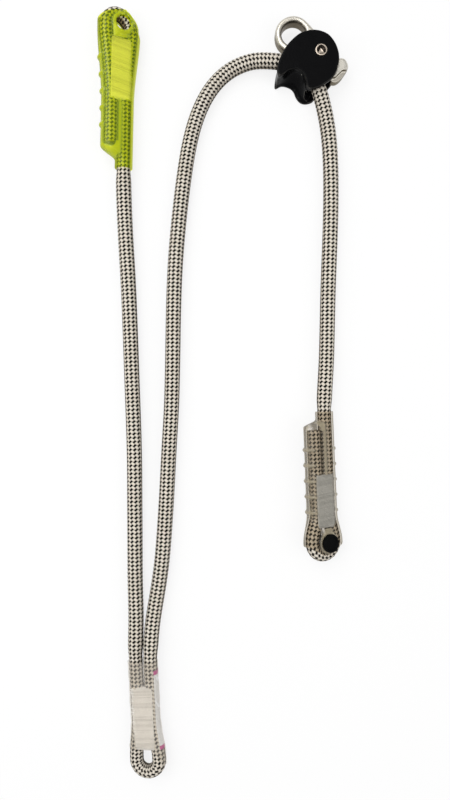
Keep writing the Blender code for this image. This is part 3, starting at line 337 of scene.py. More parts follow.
def braided_rope(name, first, last):
    """The rope between two rings, as a closed tube with the braid's relief and a map for its colours."""
    sides = PICKS_AROUND * RINGS_PER_PICK
    count = last - first + 1
    rows = slice(first, last + 1)
    turn = 2 * math.pi * np.arange(sides) / sides
    across = np.arange(sides) / RINGS_PER_PICK + TWIST * ring_at[rows, None]
    along = ring_at[rows, None] / PICK_LENGTH + np.zeros(sides)
    radius = radii[rows, None] - BRAID_DEPTH * (1.0 - pick_height(across, along))
    out = np.cos(turn)[:, None] * normals[rows, None] + np.sin(turn)[:, None] * binormals[rows, None]
    points = centres[rows, None] + radius[:, :, None] * out
    points = np.concatenate((points.reshape(-1, 3), centres[[first, last]]))
    ring, side = np.meshgrid(np.arange(count - 1), np.arange(sides), indexing="ij")
    here, there, after = ring * sides, (ring + 1) * sides, (side + 1) % sides
    quads = np.stack((here + side, here + after, there + after, there + side), -1).reshape(-1, 4)
    caps = []
    for end, row, step in ((count * sides, 0, -1), (count * sides + 1, count - 1, 1)):
        for index in range(sides):
            pair = (row * sides + index, row * sides + (index + 1) % sides)
            caps.append((end, *pair[::step]))
    mesh = bpy.data.meshes.new(name)
    mesh.from_pydata(points.tolist(), [], quads.tolist() + caps)
    base = np.stack((across[:-1], along[:-1]), -1)
    one = np.array((1 / RINGS_PER_PICK, 0.0))
    up = np.array((TWIST * ring_step, 1 / RINGS_PER_PICK))
    corners = np.stack((base, base + one, base + one + up, base + up), 2).reshape(-1, 2)
    uv = np.concatenate((corners, np.zeros((len(caps) * 3, 2))))
    layer = mesh.uv_layers.new(name="braid")
    layer.data.foreach_set("uv", uv.astype(np.float32).ravel())
    return linked(name + "_braid", mesh)


def coated(piece, *materials):
    """Gives a finished mesh its materials and smooth shading."""
    piece.data.materials.clear()
    for material in materials:
        piece.data.materials.append(material)
    piece.data.shade_smooth()


def linear(hex_color):
    """An sRGB hex colour as linear red, green, blue and 1."""
    values = [int(hex_color[index : index + 2], 16) / 255 for index in (1, 3, 5)]
    return (*(v / 12.92 if v <= 0.04045 else ((v + 0.055) / 1.055) ** 2.4 for v in values), 1.0)


def add_node(tree, kind, inputs=(), result=None, **settings):
    """Adds a node with its settings, and gives its first output or the one that result names.

    inputs fills its open sockets in their order, or some by name, each with a value, a hex colour or a
    socket. A Mix mixes colours.
    """
    made = tree.nodes.new(kind if "Node" in kind else "ShaderNode" + kind)
    for key, value in settings.items():
        setattr(made, key, value)
    if kind == "Mix":
        made.data_type = "RGBA"
    if isinstance(inputs, dict):
        filled = [(made.inputs[key], value) for key, value in inputs.items()]
    else:
        filled = zip([socket for socket in made.inputs if socket.enabled], inputs)
    for socket, value in filled:
        if isinstance(value, bpy.types.NodeSocket):
            tree.links.new(value, socket)
        else:
            socket.default_value = linear(value) if str(value)[0] == "#" else value
    if result is not None:
        return made.outputs[result]
    return next((socket for socket in made.outputs if socket.enabled), made)


def new_material(name):
    """A material, the function that adds a node to it, and the piece's own coordinates."""
    material = bpy.data.materials.new(name)
    material.use_nodes = True
    material.node_tree.nodes.clear()
    add = functools.partial(add_node, material.node_tree)
    return material, add, add("TexCoord", result="Object")


# Braided polyamide sheath: matt yarn in a warm dirty cream, with painted shade where the strands dip
# between each other, and black flecks 2.8 by 1.6 mm that all slant one way. The yarn's filaments are finer
# than the picture shows, so they are drawn at 0.3 mm. Its flanks get painted shade, and so does the rope
# inside each eye.
# How near each eye's middle the sheath is given painted shade, and where that shade ends
EYE_SHADE_WITHIN, EYE_SHADE_TO = 4.2 * MM, 5.6 * MM
sheath, add, place = new_material("braided_polyamide_sheath")
wobble = add("TexNoise", (place, 500.0, 2.0), "Color")
cells = add("VectorMath", (wobble, (0.16, 0.16, 0.0), add("UVMap", uv_map="braid")), operation="MULTIPLY_ADD")
from_middle = []
for shift, angle, half_size, power in (
    (-0.08, -45.0, (0.44, 0.25, 1.0), 2.4),
    (0.42, 45.0, (0.52, 0.40, 1.0), 2.0),
):
    moved = add("VectorMath", (cells, (shift, shift, 0.0)))
    share = add("VectorMath", (moved,), operation="FRACTION")
    middle = add("VectorMath", (share, (-0.5, -0.5, 0.0)))
    flat = add("VectorMath", (middle, (1.0, 1.0, 0.0)), operation="MULTIPLY")
    lean = add("VectorRotate", {"Vector": flat, "Angle": math.radians(angle)}, rotation_type="Z_AXIS")
    scaled = add("VectorMath", (lean, half_size), operation="DIVIDE")
    sides = []
    for part in add("SeparateXYZ", (scaled,)).node.outputs[:2]:
        size = add("Math", (part,), operation="ABSOLUTE")
        sides.append(add("Math", (size, power), operation="POWER"))
    from_middle.append(add("Math", sides))
fleck = add("MapRange", (from_middle[0], 0.75, 1.2, 1.0, 0.0), interpolation_type="SMOOTHSTEP")
crest = add("MapRange", (from_middle[1], 0.3, 1.4, 1.0, 0.0), interpolation_type="SMOOTHSTEP")
filaments = add("TexNoise", (place, 3300.0, 2.0, 0.6))
# Painted shade: the yarn is darker where the strands dip between each other
yarn_with_dip_shade = add("Mix", (crest, "#837969", "#d8d1c5"))
soiled = add("MapRange", (add("TexNoise", (place, 90.0, 3.0)), 0.4, 0.8, 0.0, 0.35))
yarn_with_dip_shade = add("Mix", (soiled, yarn_with_dip_shade, "#b5ab9a"))
black = add("Mix", (filaments, "#030303", "#121110"))
color = add("Mix", (fleck, yarn_with_dip_shade, black))
# Painted shade: the sheath is painted darker the more its surface faces sideways or down
upright = add("SeparateXYZ", (add("NewGeometry", result="Normal"),), 2)
flank_shade = add("MapRange", (upright, 0.1, 0.75, 0.75, 0.0))
color = add("Mix", (flank_shade, color, "#766b5c"), blend_type="MULTIPLY")
# Painted shade inside each eye, darkest near the eye's middle
for eye in (FIXED["eye"], FREE["eye"]):
    beside = add("VectorMath", (place, -laid(*eye)))
    beside = add("VectorMath", (beside, (1.0, 1.0, 0.0)), operation="MULTIPLY")
    away = add("VectorMath", (beside,), operation="LENGTH")
    eye_shade = add("MapRange", (away, EYE_SHADE_WITHIN, EYE_SHADE_TO, 0.85, 0.0))
    color = add("Mix", (eye_shade, color, "#8a7455"), blend_type="MULTIPLY")
relief = add("Math", (filaments, 0.25, crest), operation="MULTIPLY_ADD")
bump = add("Bump", {"Height": relief, "Strength": 0.35, "Distance": 0.2 * MM})
rough = add("MapRange", (filaments, 0.0, 1.0, 0.7, 0.95))
surface = add(
    "BsdfPrincipled",
    {"Base Color": color, "Roughness": rough, "Normal": bump, "IOR": 1.53,
     "Specular IOR Level": 0.15, "Sheen Weight": 0.04, "Sheen Roughness": 0.5},
)
add("OutputMaterial", (surface,))

# On the lanyard the two arms bend with the adjuster as it slides, and the cam's nose presses the rope inside
# it. Each such piece is listed with the two bodies and the two points between which it bends; here these
# pieces are only fixed where they lie.
PRESS = Vector((0.5, 0.866, 0.0))
PRESS_OUTER, PRESS_INNER = 17.6 * MM, 7.6 * MM
blends = {
    "adjustable_arm_rope": ("lanyard", "adjuster", laid(-35.0, 100.0), laid(20.0, 243.0)),
    "tail_rope": ("lanyard", "adjuster", laid(75.0, 100.0), laid(70.0, 211.0)),
    "adjuster_rope": ("adjuster", "cam", PIVOT - PRESS_OUTER * PRESS, PIVOT - PRESS_INNER * PRESS),
}
rope_rings = {}
for (name, points, radius), start, end in zip(stretches, rope_starts, rope_ends):
    first = round(reach[start] / ring_step)
    last = min(round(reach[end] / ring_step), len(ring_at) - 1)
    rope_rings[name] = (first, last)
    piece = braided_rope(name, first, last)
    coated(piece, sheath)
    if name in blends:
        before, after, start, end = blends[name]
        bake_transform(piece)
    else:
        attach(piece, "lanyard")
    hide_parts(name)


# Floor and light: a plain white table under soft overcast studio light, as in a catalogue photograph.
# The table shows pure white to the camera and in reflections, and keeps the lanyard's soft shadow.
FLOOR_REACH = 3


def soft_lamp(name, place, size, length, power):
    """An oblong lamp that faces the layout's middle."""
    lamp = linked(name, bpy.data.lights.new(name, "AREA"))
    lamp.data.shape = "RECTANGLE"
    lamp.data.size = size
    lamp.data.size_y = length
    lamp.data.energy = power
    lamp.location = place
    lamp.rotation_euler = (LAYOUT - Vector(place)).to_track_quat("-Z", "Y").to_euler()


floor = linked("floor", bpy.data.meshes.new("floor"))
corners = [(x * FLOOR_REACH, y * FLOOR_REACH, 0) for x, y in ((-1, -1), (1, -1), (1, 1), (-1, 1))]
floor.data.from_pydata(corners, [], [(0, 1, 2, 3)])
# Matt white paint: an even pale surface with hardly any gloss
paint, add, place = new_material("white_matt_table")
table = add("BsdfPrincipled", {"Base Color": "#f4f4f4", "Roughness": 0.9, "Specular IOR Level": 0.2})
white = add("Emission", ("#ffffff", 1.0))
rays = add("LightPath").node.outputs
seen = rays["Is Camera Ray"]
for kind in ("Is Glossy Ray", "Is Transmission Ray"):
    seen = add("Math", (seen, rays[kind]), operation="MAXIMUM")
share = add("Math", (seen, 0.8), operation="MULTIPLY")
add("OutputMaterial", (add("MixShader", (share, table, white)),))
floor.data.materials.append(paint)

world = bpy.data.worlds.new("studio")
bpy.context.scene.world = world
world.use_nodes = True
sky = world.node_tree.nodes["Background"].inputs
sky["Color"].default_value = linear("#ffffff")
sky["Strength"].default_value = 0.55
soft_lamp("key_light", (-0.45, 0.75, 1.2), 0.9, 0.9, 7.0)
soft_lamp("fill_light", (0.9, -0.4, 1.1), 0.9, 0.9, 3.5)
soft_lamp("strip_light", (-0.42, 0.0, 0.8), 0.09, 1.3, 3.2)


# Moulded sleeves: the fixed end's is lime and the free end's is clear, both soft PVC moulded over the
# sewn rope. Each is an outer skin with eye lips and ribs, merged and softened as one moulding, and then
# hollowed where the rope lies.
STITCH_WIDTH = 13.0 * MM
STITCH_TOP = 5.8 * MM
STITCH_BULGE = 0.35 * MM
STITCH_EDGE = 3 * MM
SLEEVE_INNER = 5.2 * MM
SLEEVE_SAG = 0.35 * MM
MAIN_RUNOUT = 8 * MM
EYE_HOLE = 5.2 * MM
LIP_RADIUS = 1.5 * MM
LIP_OUT = 0.9
WRAP_RADIUS = 5.6 * MM
RIB_RADIUS = 1.4 * MM
RIB_SINK = 0.1 * MM
RIB_COUNT = 5
MOULD_GRAIN = 0.45 * MM
MERGE_START, MERGE_LENGTH = 0.1, 0.75
BULGE_SPREAD = 2.2
# From what half width a sleeve's face sinks, and over how much more, in the sleeve's radii
SAG_FROM, SAG_OVER = 1.2, 0.6
COLLAR_EDGE = 0.6 * MM
WRAP_START, WRAP_STOP = 96, 238
SEE_IN_FROM, SEE_IN_OVER = 0.2 * MM, 1.2 * MM
HAZY_FROM, HAZY_TO = 1.7, 3.7


def solid(name, points, faces):
    """A closed mesh from points and faces, with its doubles merged and its faces turned outwards."""
    mesh = bpy.data.meshes.new(name)
    mesh.from_pydata([tuple(point) for point in points], [], faces)
    work = bmesh.new()
    work.from_mesh(mesh)
    bmesh.ops.remove_doubles(work, verts=work.verts, dist=1e-7)
    bmesh.ops.recalc_face_normals(work, faces=work.faces)
    work.to_mesh(mesh)
    work.free()
    return linked(name, mesh)


def loft(name, rings, closed=False):
    """A closed solid through rings of points; closed joins the last ring to the first."""
    sides = len(rings[0])
    points = [point for ring in rings for point in ring]
    faces = []
    for row in range(len(rings) - (0 if closed else 1)):
        here, there = row * sides, (row + 1) % len(rings) * sides
        for side in range(sides):
            after = (side + 1) % sides
            faces.append((here + side, here + after, there + after, there + side))
    if not closed:
        faces += [tuple(range(sides)), tuple(range(len(points) - sides, len(points)))[::-1]]
    return solid(name, points, faces)


def block(name, outline, reach):
    """An upright block that reaches as far above and below its outline."""
    return loft(name, [[(x, y, height) for x, y in outline] for height in (-reach, reach)])


def tube(name, points, radius, sides):
    """A closed round tube along the points."""
    line = [Vector(point) for point in points]
    rings = []
    upright = abs((line[1] - line[0]).normalized().z) > 0.9
    across = Vector((1.0, 0.0, 0.0)) if upright else Vector((0.0, 0.0, 1.0))
    for index, point in enumerate(line):
        along = (line[min(index + 1, len(line) - 1)] - line[max(index - 1, 0)]).normalized()
        across = (across - along * across.dot(along)).normalized()
        other = along.cross(across)
        angles = [2 * math.pi * side / sides for side in range(sides)]
        rings.append([point + radius * (across * math.cos(a) + other * math.sin(a)) for a in angles])
    return loft(name, rings)


def settled(piece):
    """Applies the piece's modifiers."""
    graph = bpy.context.evaluated_depsgraph_get()
    mesh = bpy.data.meshes.new_from_object(piece.evaluated_get(graph))
    piece.modifiers.clear()
    piece.data = mesh


def cut_out(piece, tool):
    """Cuts a tool's shape from the piece, and deletes the tool."""
    cut = piece.modifiers.new("cut", "BOOLEAN")
    cut.object = tool
    cut.operation = "DIFFERENCE"
    cut.solver = "EXACT"
    settled(piece)
    bpy.data.objects.remove(tool)


def melted(piece, grain, rounds=0):
    """Makes one even mesh of all that the piece holds, and softens its edges in so many rounds."""
    melt = piece.modifiers.new("melt", "REMESH")
    melt.mode = "VOXEL"
    melt.voxel_size = grain
    if rounds:
        soften = piece.modifiers.new("soften", "SMOOTH")
        soften.factor = 0.5
        soften.iterations = rounds
    settled(piece)


def placed(piece, end):
    """Moves a mesh made beside an eye to its sewn end."""
    turn, middle = end_place(end)
    matrix = turn.to_4x4()
    matrix.translation = middle
    piece.data.transform(matrix)


def section(left, right, end, along, steps=20, straight=12):
    """A sleeve's cross-section: round over each strand, and fuller over the stitching between them."""
    reach = SLEEVE_RADIUS
    sewn = smooth_share((along - end["stitch_start"] + STITCH_EDGE) / STITCH_EDGE)
    sewn *= smooth_share((end["stitch_end"] + STITCH_EDGE - along) / STITCH_EDGE)
    half, middle = (right - left) / 2, (left + right) / 2
    ring = []
    for centre, first in ((right - reach, -math.pi / 2), (left + reach, math.pi / 2)):
        for step in range(steps + 1):
            angle = first + math.pi * step / steps
            ring.append([centre + reach * math.cos(angle), along, reach * math.sin(angle)])
    full = []
    for index, point in enumerate(ring):
        full.append(point)
        if index in (steps, 2 * steps + 1):
            gap = ring[(index + 1) % len(ring)][0] - point[0]
            full += [[point[0] + gap * (step / straight), along, point[2]] for step in range(1, straight)]
    for point in full:
        inside = 1.0 - min(abs(point[0] - middle) / max(half, MM), 1.0) ** 2
        rise = STITCH_BULGE * sewn * smooth_share(inside * BULGE_SPREAD)
        wide = smooth_share((half - SAG_FROM * reach) / (SAG_OVER * reach))
        dip = SLEEVE_SAG * (1 - sewn) * wide * inside**3
        point[2] += math.copysign(rise - dip, point[2]) if abs(point[2]) > 1e-6 else 0.0
    return full


def moulded_skin(name, end, rib_start, rib_pitch, rib_angles, hole, rim):
    """The outer skin beside its eye: two strands wide, then a collar round the main strand.

    rib_angles are each flank's first and last angle of its ribs, hole is how far the eye's slanting hole
    leans at its lip, and rim is the line, from -x to +x, where the skin stops short of the eye's end.
    """
    bulge_end = end["tail_end"] + TAIL_WALL
    wide = STRAND_OFFSET + SLEEVE_RADIUS
    narrow = SLEEVE_RADIUS - STRAND_OFFSET
    rings = []
    for along in [-end["bend"] - SLEEVE_RADIUS, *(bulge_end * step / 48 for step in range(49))]:
        half = strand_offset(along, end) + SLEEVE_RADIUS
        rings.append(section(-half, half, end, along))
    for step in range(1, 25):
        tail_side = wide + (narrow - wide) * smooth_share((step / 24 - MERGE_START) / MERGE_LENGTH)
        left, right = (-tail_side, wide) if end["side"] > 0 else (-wide, tail_side)
        rings.append(section(left, right, end, bulge_end + end["taper"] * step / 24))
    left, right = (-narrow, wide) if end["side"] > 0 else (-wide, narrow)
    rings += [section(left, right, end, end["collar_end"] - back) for back in (COLLAR_EDGE, 0.0)]
    skin = loft(name, rings)
    far = 3 * (end["bend"] + SLEEVE_RADIUS)
    below = [(far, -far), (-far, -far)]
    cut_out(skin, block(name + "_cut", [(-far, rim[0][1]), *rim, (far, rim[-1][1]), *below], far))
    parts = [skin]
    if end["pull"]:
        bend = [math.radians(degrees) for degrees in range(WRAP_START, WRAP_STOP, 6)]
        line = [pulled(end, end["bend"] * math.cos(a), -end["bend"] * math.sin(a)) for a in bend]
        wrap = tube(name + "_wrap", line, WRAP_RADIUS, 28)
        cut_out(wrap, block(name + "_cut", [(-far, rim[1][1]), (far, rim[1][1]), *below], far))
        parts.append(wrap)
    for side, (low, high) in zip((-1, 1), rib_angles):
        for along in [rib_start + rib_pitch * index for index in range(RIB_COUNT)]:
            rib = []
            for step in range(9):
                angle = math.radians(low + (high - low) * step / 8)
                out, up = around(SLEEVE_RADIUS - RIB_SINK, angle)
                rib.append((side * (strand_offset(along, end) + out), along, up))
            parts.append(tube(name + "_rib", rib, RIB_RADIUS, 12))
    lean = hole / SLEEVE_RADIUS
    turns = [2 * math.pi * step / 48 for step in range(48)]
    for face in (-SLEEVE_RADIUS, SLEEVE_RADIUS):
        rings = []
        for turn in turns:
            ring = []
            for part in turns[::4]:
                out, up = around(LIP_RADIUS, part)
                across, along = around(EYE_HOLE + LIP_OUT * LIP_RADIUS + out, turn)
                ring.append((lean * face + across, along, face + up))
            rings.append(ring)
        parts.append(loft(name + "_lip", rings, closed=True))
    work = bmesh.new()
    for part in parts:
        work.from_mesh(part.data)
    work.to_mesh(skin.data)
    work.free()
    for part in parts[1:]:
        bpy.data.objects.remove(part)
    melted(skin, MOULD_GRAIN)
    bore = []
    for height in (-far, far):
        circle = [around(EYE_HOLE, turn) for turn in turns]
        bore.append([(lean * height + across, along, height) for across, along in circle])
    cut_out(skin, loft(name + "_hole", bore))
    melted(skin, MOULD_GRAIN, 4)
    return skin


def note_depth(piece, end, first, last):
    """Notes at each point, in millimetres, how much plastic the eye looks through.

    It is the wall over the nearest rope, the full thickness beside it, and hardly any over the stitching.
    """
    tree = KDTree(last + 1 - first)
    for index in range(first, last + 1):
        tree.insert(centres[index], index)
    tree.balance()
    turn, middle = end_place(end)
    back = turn.transposed()
    tip = min((back @ (Vector(centres[index]) - middle)).y for index in (first, last))
    depths = []
    for vertex in piece.data.vertices:
        nearest, index, away = tree.find(vertex.co)
        wall = away - STRAND_RADIUS
        spot = back @ (vertex.co - middle)
        line = back @ (nearest - middle)
        past = (vertex.co.xy - nearest.xy).length - STRAND_RADIUS
        outside = smooth_share((abs(spot.x) - abs(line.x)) / MM) if spot.y < tip else 1.0
        more = max(2 * abs(spot.z) - wall, 0.0)
        depth = wall + more * outside * smooth_share((past + SEE_IN_FROM) / SEE_IN_OVER)
        if abs(spot.x) < STITCH_WIDTH / 2 and end["stitch_start"] < spot.y < end["stitch_end"]:
            depth = min(depth, abs(spot.z) - STITCH_TOP)
        depths.append(max(depth, 0.0) / MM)
    layer = piece.data.attributes.new("plastic_depth", "FLOAT", "POINT")
    layer.data.foreach_set("value", depths)


def soft_plastic(name, tint, thin, thick, haze, rough):
    """See-through plastic that tints what lies beneath, and is cloudier and less glossy the thicker it is.

    thin and thick are its own colours, and haze is how much they cover, over the rope and where deep.
    """
    material, add, place = new_material(name)
    cloud = add("TexNoise", (place, 160.0, 3.0))
    grain = add("TexNoise", (place, 2600.0, 2.0))
    waves = add("TexNoise", (place, 260.0, 1.0))
    depth = add("Attribute", attribute_name="plastic_depth", result="Fac")
    fullness = add("MapRange", (depth, HAZY_FROM, HAZY_TO), interpolation_type="SMOOTHSTEP")
    color = add("Mix", (fullness, thin, thick))
    rises = add("Math", (grain, 0.15, waves), operation="MULTIPLY_ADD")
    bump = add("Bump", {"Height": rises, "Strength": 0.5, "Distance": 0.25 * MM})
    roughness = add("MapRange", (cloud, 0.0, 1.0, rough - 0.06, rough + 0.1))
    shine = add("MapRange", (fullness, 0.0, 1.0, 1.0, 0.2))
    skin = add(
        "BsdfPrincipled",
        {"Base Color": color, "Roughness": roughness, "Normal": bump, "IOR": 1.53,
         "Specular IOR Level": shine, "Coat Weight": shine, "Coat Roughness": 0.15},
    )
    clouds = add("MapRange", (cloud, 0.0, 1.0, -0.04, 0.04))
    share = add("MapRange", (fullness, 0.0, 1.0, *haze))
    share = add("Math", (share, clouds), use_clamp=True)
    add("OutputMaterial", (add("MixShader", (share, add("BsdfTransparent", (tint,)), skin)),))
    return material


# Where the skin stops round each eye, in millimetres beside the eye
LIME_RIM = [(-15.5, 8.3), (-3.4, -9.9), (2.0, -9.2), (6.6, -8.0), (11.5, -6.1), (15.6, -3.4)]
CLEAR_RIM = [(-15.6, -1.5)]
RIM_START, RIM_STOP = 220, 322
RIM_COVER, RIM_LEAN = 8.9, 0.7
for degrees in range(RIM_START, RIM_STOP, 5):
    angle = math.radians(degrees)
    cover = RIM_COVER - RIM_LEAN * math.cos(angle)
    CLEAR_RIM.append(around(cover, angle))
CLEAR_RIM.append((15.6, -1.5))
# Soft PVC as it leaves its mould: bright where it is thin, milky and dull where it is thick
lime_pvc = soft_plastic("moulded_lime_pvc", "#fbfc96", "#9cc20b", "#b9c40c", (0.15, 0.76), 0.34)
clear_pvc = soft_plastic("moulded_clear_pvc", "#f2efea", "#857b6a", "#a0967f", (0.035, 0.76), 0.28)
for name, end, ribs, rim, material, slot in (
    (
        "fixed_end", FIXED, (24.2 * MM, 11.85 * MM, ((-65.0, -35.0), (-45.0, 40.0)), -1.5 * MM),
        LIME_RIM, lime_pvc, "lime_sleeve",
    ),
    (
        "free_end", FREE, (21.8 * MM, 11.0 * MM, ((-45.0, 70.0), (-30.0, 25.0)), 0.0),
        CLEAR_RIM, clear_pvc, "clear_sleeve",
    ),
):
    sleeve = moulded_skin(name + "_sleeve_moulding", end, *ribs, [(x * MM, y * MM) for x, y in rim])
    placed(sleeve, end)
    first, last = rope_rings[name + "_eye_rope"]
    line = [Vector(point) for point in centres[first : last + 1 : 4]]
    line.append(Vector(centres[last]))
    before, after = (CLEARANCE, MAIN_RUNOUT) if name == "fixed_end" else (MAIN_RUNOUT, CLEARANCE)
    before = line[0] + (line[0] - line[1]).normalized() * before
    after = line[-1] + (line[-1] - line[-2]).normalized() * after
    line = [before, *line, after]
    middle = len(line) // 2
    for half in (line[: middle + 2], line[middle - 2 :]):
        cut_out(sleeve, tube(name + "_room", half, SLEEVE_INNER, 28))
    note_depth(sleeve, end, first, last)
    coated(sleeve, material)
    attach(sleeve, "lanyard")
    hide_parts(name + "_sleeve")


# Harness sleeve and label: a thin clear polyurethane film shrunk over both strands, cut on a slant above
# the rope eye. It holds a white polyester label strip, with a magenta band at each end, against the
# adjustable arm's strand.
FILM_OUTER = 5.5 * MM
FILM_WALL = 0.25 * MM
FILM_HIGH = 6.55 * MM
FILM_CUT_LEFT = 9.5 * MM
FILM_CUT_RIGHT = -2.5 * MM
FILM_SLACK = 0.4 * MM
FILM_SAG = 0.5 * MM
SLACK_START, SLACK_LENGTH = 2 * MM, 50 * MM
PAD_REACH, PAD_EASE = 2.4 * MM, 2.6 * MM
FILM_RISE, FILM_FALL = 4 * MM, 5 * MM
FILM_WAVE, WAVE_SHORT, WAVE_LONG = 0.1 * MM, 2.1 * MM, 5.3 * MM
WAVE_LEAN = 1.7
FILM_RINGS = 96


def film_section(along, wall_in, past=0.0):
    """The film's cross-section: close round both strands, lifted by the stitching, slack at one edge."""
    offset = strand_offset(along, HARNESS)
    radius = FILM_OUTER - wall_in
    sewn = smooth_share((along - HARNESS["stitch_start"] + FILM_RISE) / FILM_RISE)
    sewn *= smooth_share((HARNESS["stitch_end"] + FILM_FALL - along) / FILM_FALL)
    slack = FILM_SLACK * smooth_share((along - SLACK_START) / SLACK_LENGTH)
    ring = []
    for side in (1, -1):
        for step in range(25):
            angle = -math.pi / 2 + math.pi * step / 24
            reach = radius + (slack * math.cos(angle) if side < 0 else 0.0)
            across = side * (offset + reach * math.cos(angle))
            ring.append([across, along + past, side * radius * math.sin(angle)])
        for step in range(1, 14):
            ring.append([side * offset * (1 - 2 * (step / 14)), along + past, side * radius])
    for point in ring:
        inside = smooth_share((offset + PAD_REACH - abs(point[0])) / PAD_EASE)
        rise = (FILM_HIGH - FILM_OUTER) * sewn * inside
        dip = FILM_SAG * (1 - sewn) * max(1 - (point[0] / offset) ** 2, 0.0)
        wave = math.sin(along / WAVE_SHORT + WAVE_LEAN * point[0] / MM) * math.sin(along / WAVE_LONG)
        point[2] += math.copysign(rise - dip, point[2]) if abs(point[2]) > 1e-6 else 0.0
        stretch = 1 + FILM_WAVE * wave / radius
        point[0] *= stretch
        point[2] *= stretch if abs(point[0]) > offset else 1.0
    return ring


film_side = HARNESS["bend"] + FILM_OUTER
alongs = [-film_side, 0.0] + [HARNESS["sleeve_end"] * step / FILM_RINGS for step in range(1, FILM_RINGS + 1)]
film = loft("harness_film", [film_section(along, 0.0) for along in alongs])
inner = [film_section(along, FILM_WALL) for along in alongs[1:-1]]
inner.insert(0, film_section(alongs[0], FILM_WALL, -MM))
inner.append(film_section(alongs[-1], FILM_WALL, MM))
cut_out(film, loft("harness_film_bore", inner))
far = 3 * HARNESS["bend"]
slant = [
    (-far, FILM_CUT_LEFT), (STRAND_OFFSET, FILM_CUT_LEFT), (film_side, FILM_CUT_RIGHT),
    (far, FILM_CUT_RIGHT), (far, -far), (-far, -far),
]
cut_out(film, block("harness_film_cut", slant, far))
placed(film, HARNESS)
note_depth(film, HARNESS, *rope_rings["harness_eye_rope"])
# Shrunk polyurethane film: nearly clear, with a thin even haze and a soft gloss
clear_film = soft_plastic("clear_polyurethane_film", "#faf9f7", "#dcd5cc", "#e9e4dd", (0.09, 0.16), 0.24)
coated(film, clear_film)
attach(film, "lanyard")
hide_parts("harness_sleeve")

LABEL_LOW, LABEL_HIGH = math.radians(-38.0), math.radians(52.0)
LABEL_INSIDE = STRAND_RADIUS + 0.05 * MM
LABEL_OUTSIDE = LABEL_INSIDE + 0.15 * MM
LABEL_START, LABEL_LENGTH = 9.0 * MM, 55.6 * MM
BAND_BELOW, BAND_ABOVE = 11.6 * MM, 62.0 * MM
rings = []
for step in range(61):
    along = LABEL_START + LABEL_LENGTH * step / 60
    ring = []
    for radius, order in ((LABEL_OUTSIDE, range(17)), (LABEL_INSIDE, range(16, -1, -1))):
        for part in order:
            angle = LABEL_LOW + (LABEL_HIGH - LABEL_LOW) * part / 16
            out, up = around(radius, angle)
            ring.append((strand_offset(along, HARNESS) + out, along, up))
    rings.append(ring)
label = loft("harness_label_strip", rings)
placed(label, HARNESS)
# Polyester film: a smooth cool white, faintly scuffed
label_film, add, place = new_material("white_polyester_label_film")
scuff = add("TexNoise", (place, 500.0, 4.0))
color = add("Mix", (scuff, "#f1f2f4", "#dddfe3"))
bump = add("Bump", {"Height": scuff, "Strength": 0.2, "Distance": 0.05 * MM})
surface = add("BsdfPrincipled", {"Base Color": color, "Roughness": 0.45, "Normal": bump, "IOR": 1.6})
add("OutputMaterial", (surface,))
# Printed band: flat strong magenta ink on the same film
band_print, add, place = new_material("magenta_printed_band")
color = add("Mix", (add("TexNoise", (place, 600.0, 4.0)), "#cc2b94", "#b0227c"))
add("OutputMaterial", (add("BsdfPrincipled", {"Base Color": color, "Roughness": 0.45, "IOR": 1.6}),))
coated(label, label_film, band_print)
turn, middle = end_place(HARNESS)
for face in label.data.polygons:
    along = (turn.transposed() @ (face.center - middle)).y
    face.material_index = 0 if BAND_BELOW <= along <= BAND_ABOVE else 1
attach(label, "lanyard")
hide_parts("harness_label")


# Stitching: each end's two strands are sewn together through and through with a bonded polyester thread.
# Rows of thread cross both strands on both faces, close together, over the pad that the needle packs down.
THREAD_RADIUS = 0.28 * MM
THREAD_PITCH = 0.82 * MM
THREAD_SINK = 0.12 * MM
PAD_EDGE = 0.4 * MM
ROW_MARGIN = 1.2 * MM

thread_tree = bpy.data.node_groups.new("thread_rows", "GeometryNodeTree")
lengths = ("Length", "Width", "Aside", "Pitch", "Thread radius", "Slant", "Strand offset", "Hug radius")
for kind, names in (("Geometry", ("Pad",)), ("Float", lengths), ("Material", ("Thread",))):
    for name in names:
        thread_tree.interface.new_socket(name, in_out="INPUT", socket_type="NodeSocket" + kind)
thread_tree.interface.new_socket("Stitching", in_out="OUTPUT", socket_type="NodeSocketGeometry")
add = functools.partial(add_node, thread_tree)
given = add("NodeGroupInput").node.outputs
hug = given["Hug radius"]

# One row: a thread straight across, laid down over the strands, and round in section
half_width = add("Math", (given["Width"], 0.5), operation="MULTIPLY")
less_width = add("Math", (half_width, -1.0), operation="MULTIPLY")
left_end = add("CombineXYZ", (less_width,))
right_end = add("CombineXYZ", (half_width, given["Slant"]))
one_row = add("GeometryNodeCurvePrimitiveLine", {"Start": left_end, "End": right_end})
one_row = add("GeometryNodeResampleCurve", {"Curve": one_row, "Count": 17})
position = add("GeometryNodeInputPosition")
across = add("Math", (add("SeparateXYZ", (position,)), given["Aside"]))
past = add("Math", (across,), operation="ABSOLUTE")
past = add("Math", (past, given["Strand offset"]), operation="SUBTRACT")
past = add("Math", (past, 0.0), operation="MAXIMUM")
squares = [add("Math", (length, length), operation="MULTIPLY") for length in (hug, past)]
level = add("Math", (add("Math", squares, operation="SUBTRACT"),), operation="SQRT")
sag = add("CombineXYZ", (given["Aside"], 0.0, add("Math", (level, hug), operation="SUBTRACT")))
one_row = add("GeometryNodeSetPosition", {"Geometry": one_row, "Offset": sag})
profile = add("GeometryNodeCurvePrimitiveCircle", {"Resolution": 6, "Radius": given["Thread radius"]})
one_row = add("GeometryNodeCurveToMesh", {"Curve": one_row, "Profile Curve": profile, "Fill Caps": True})

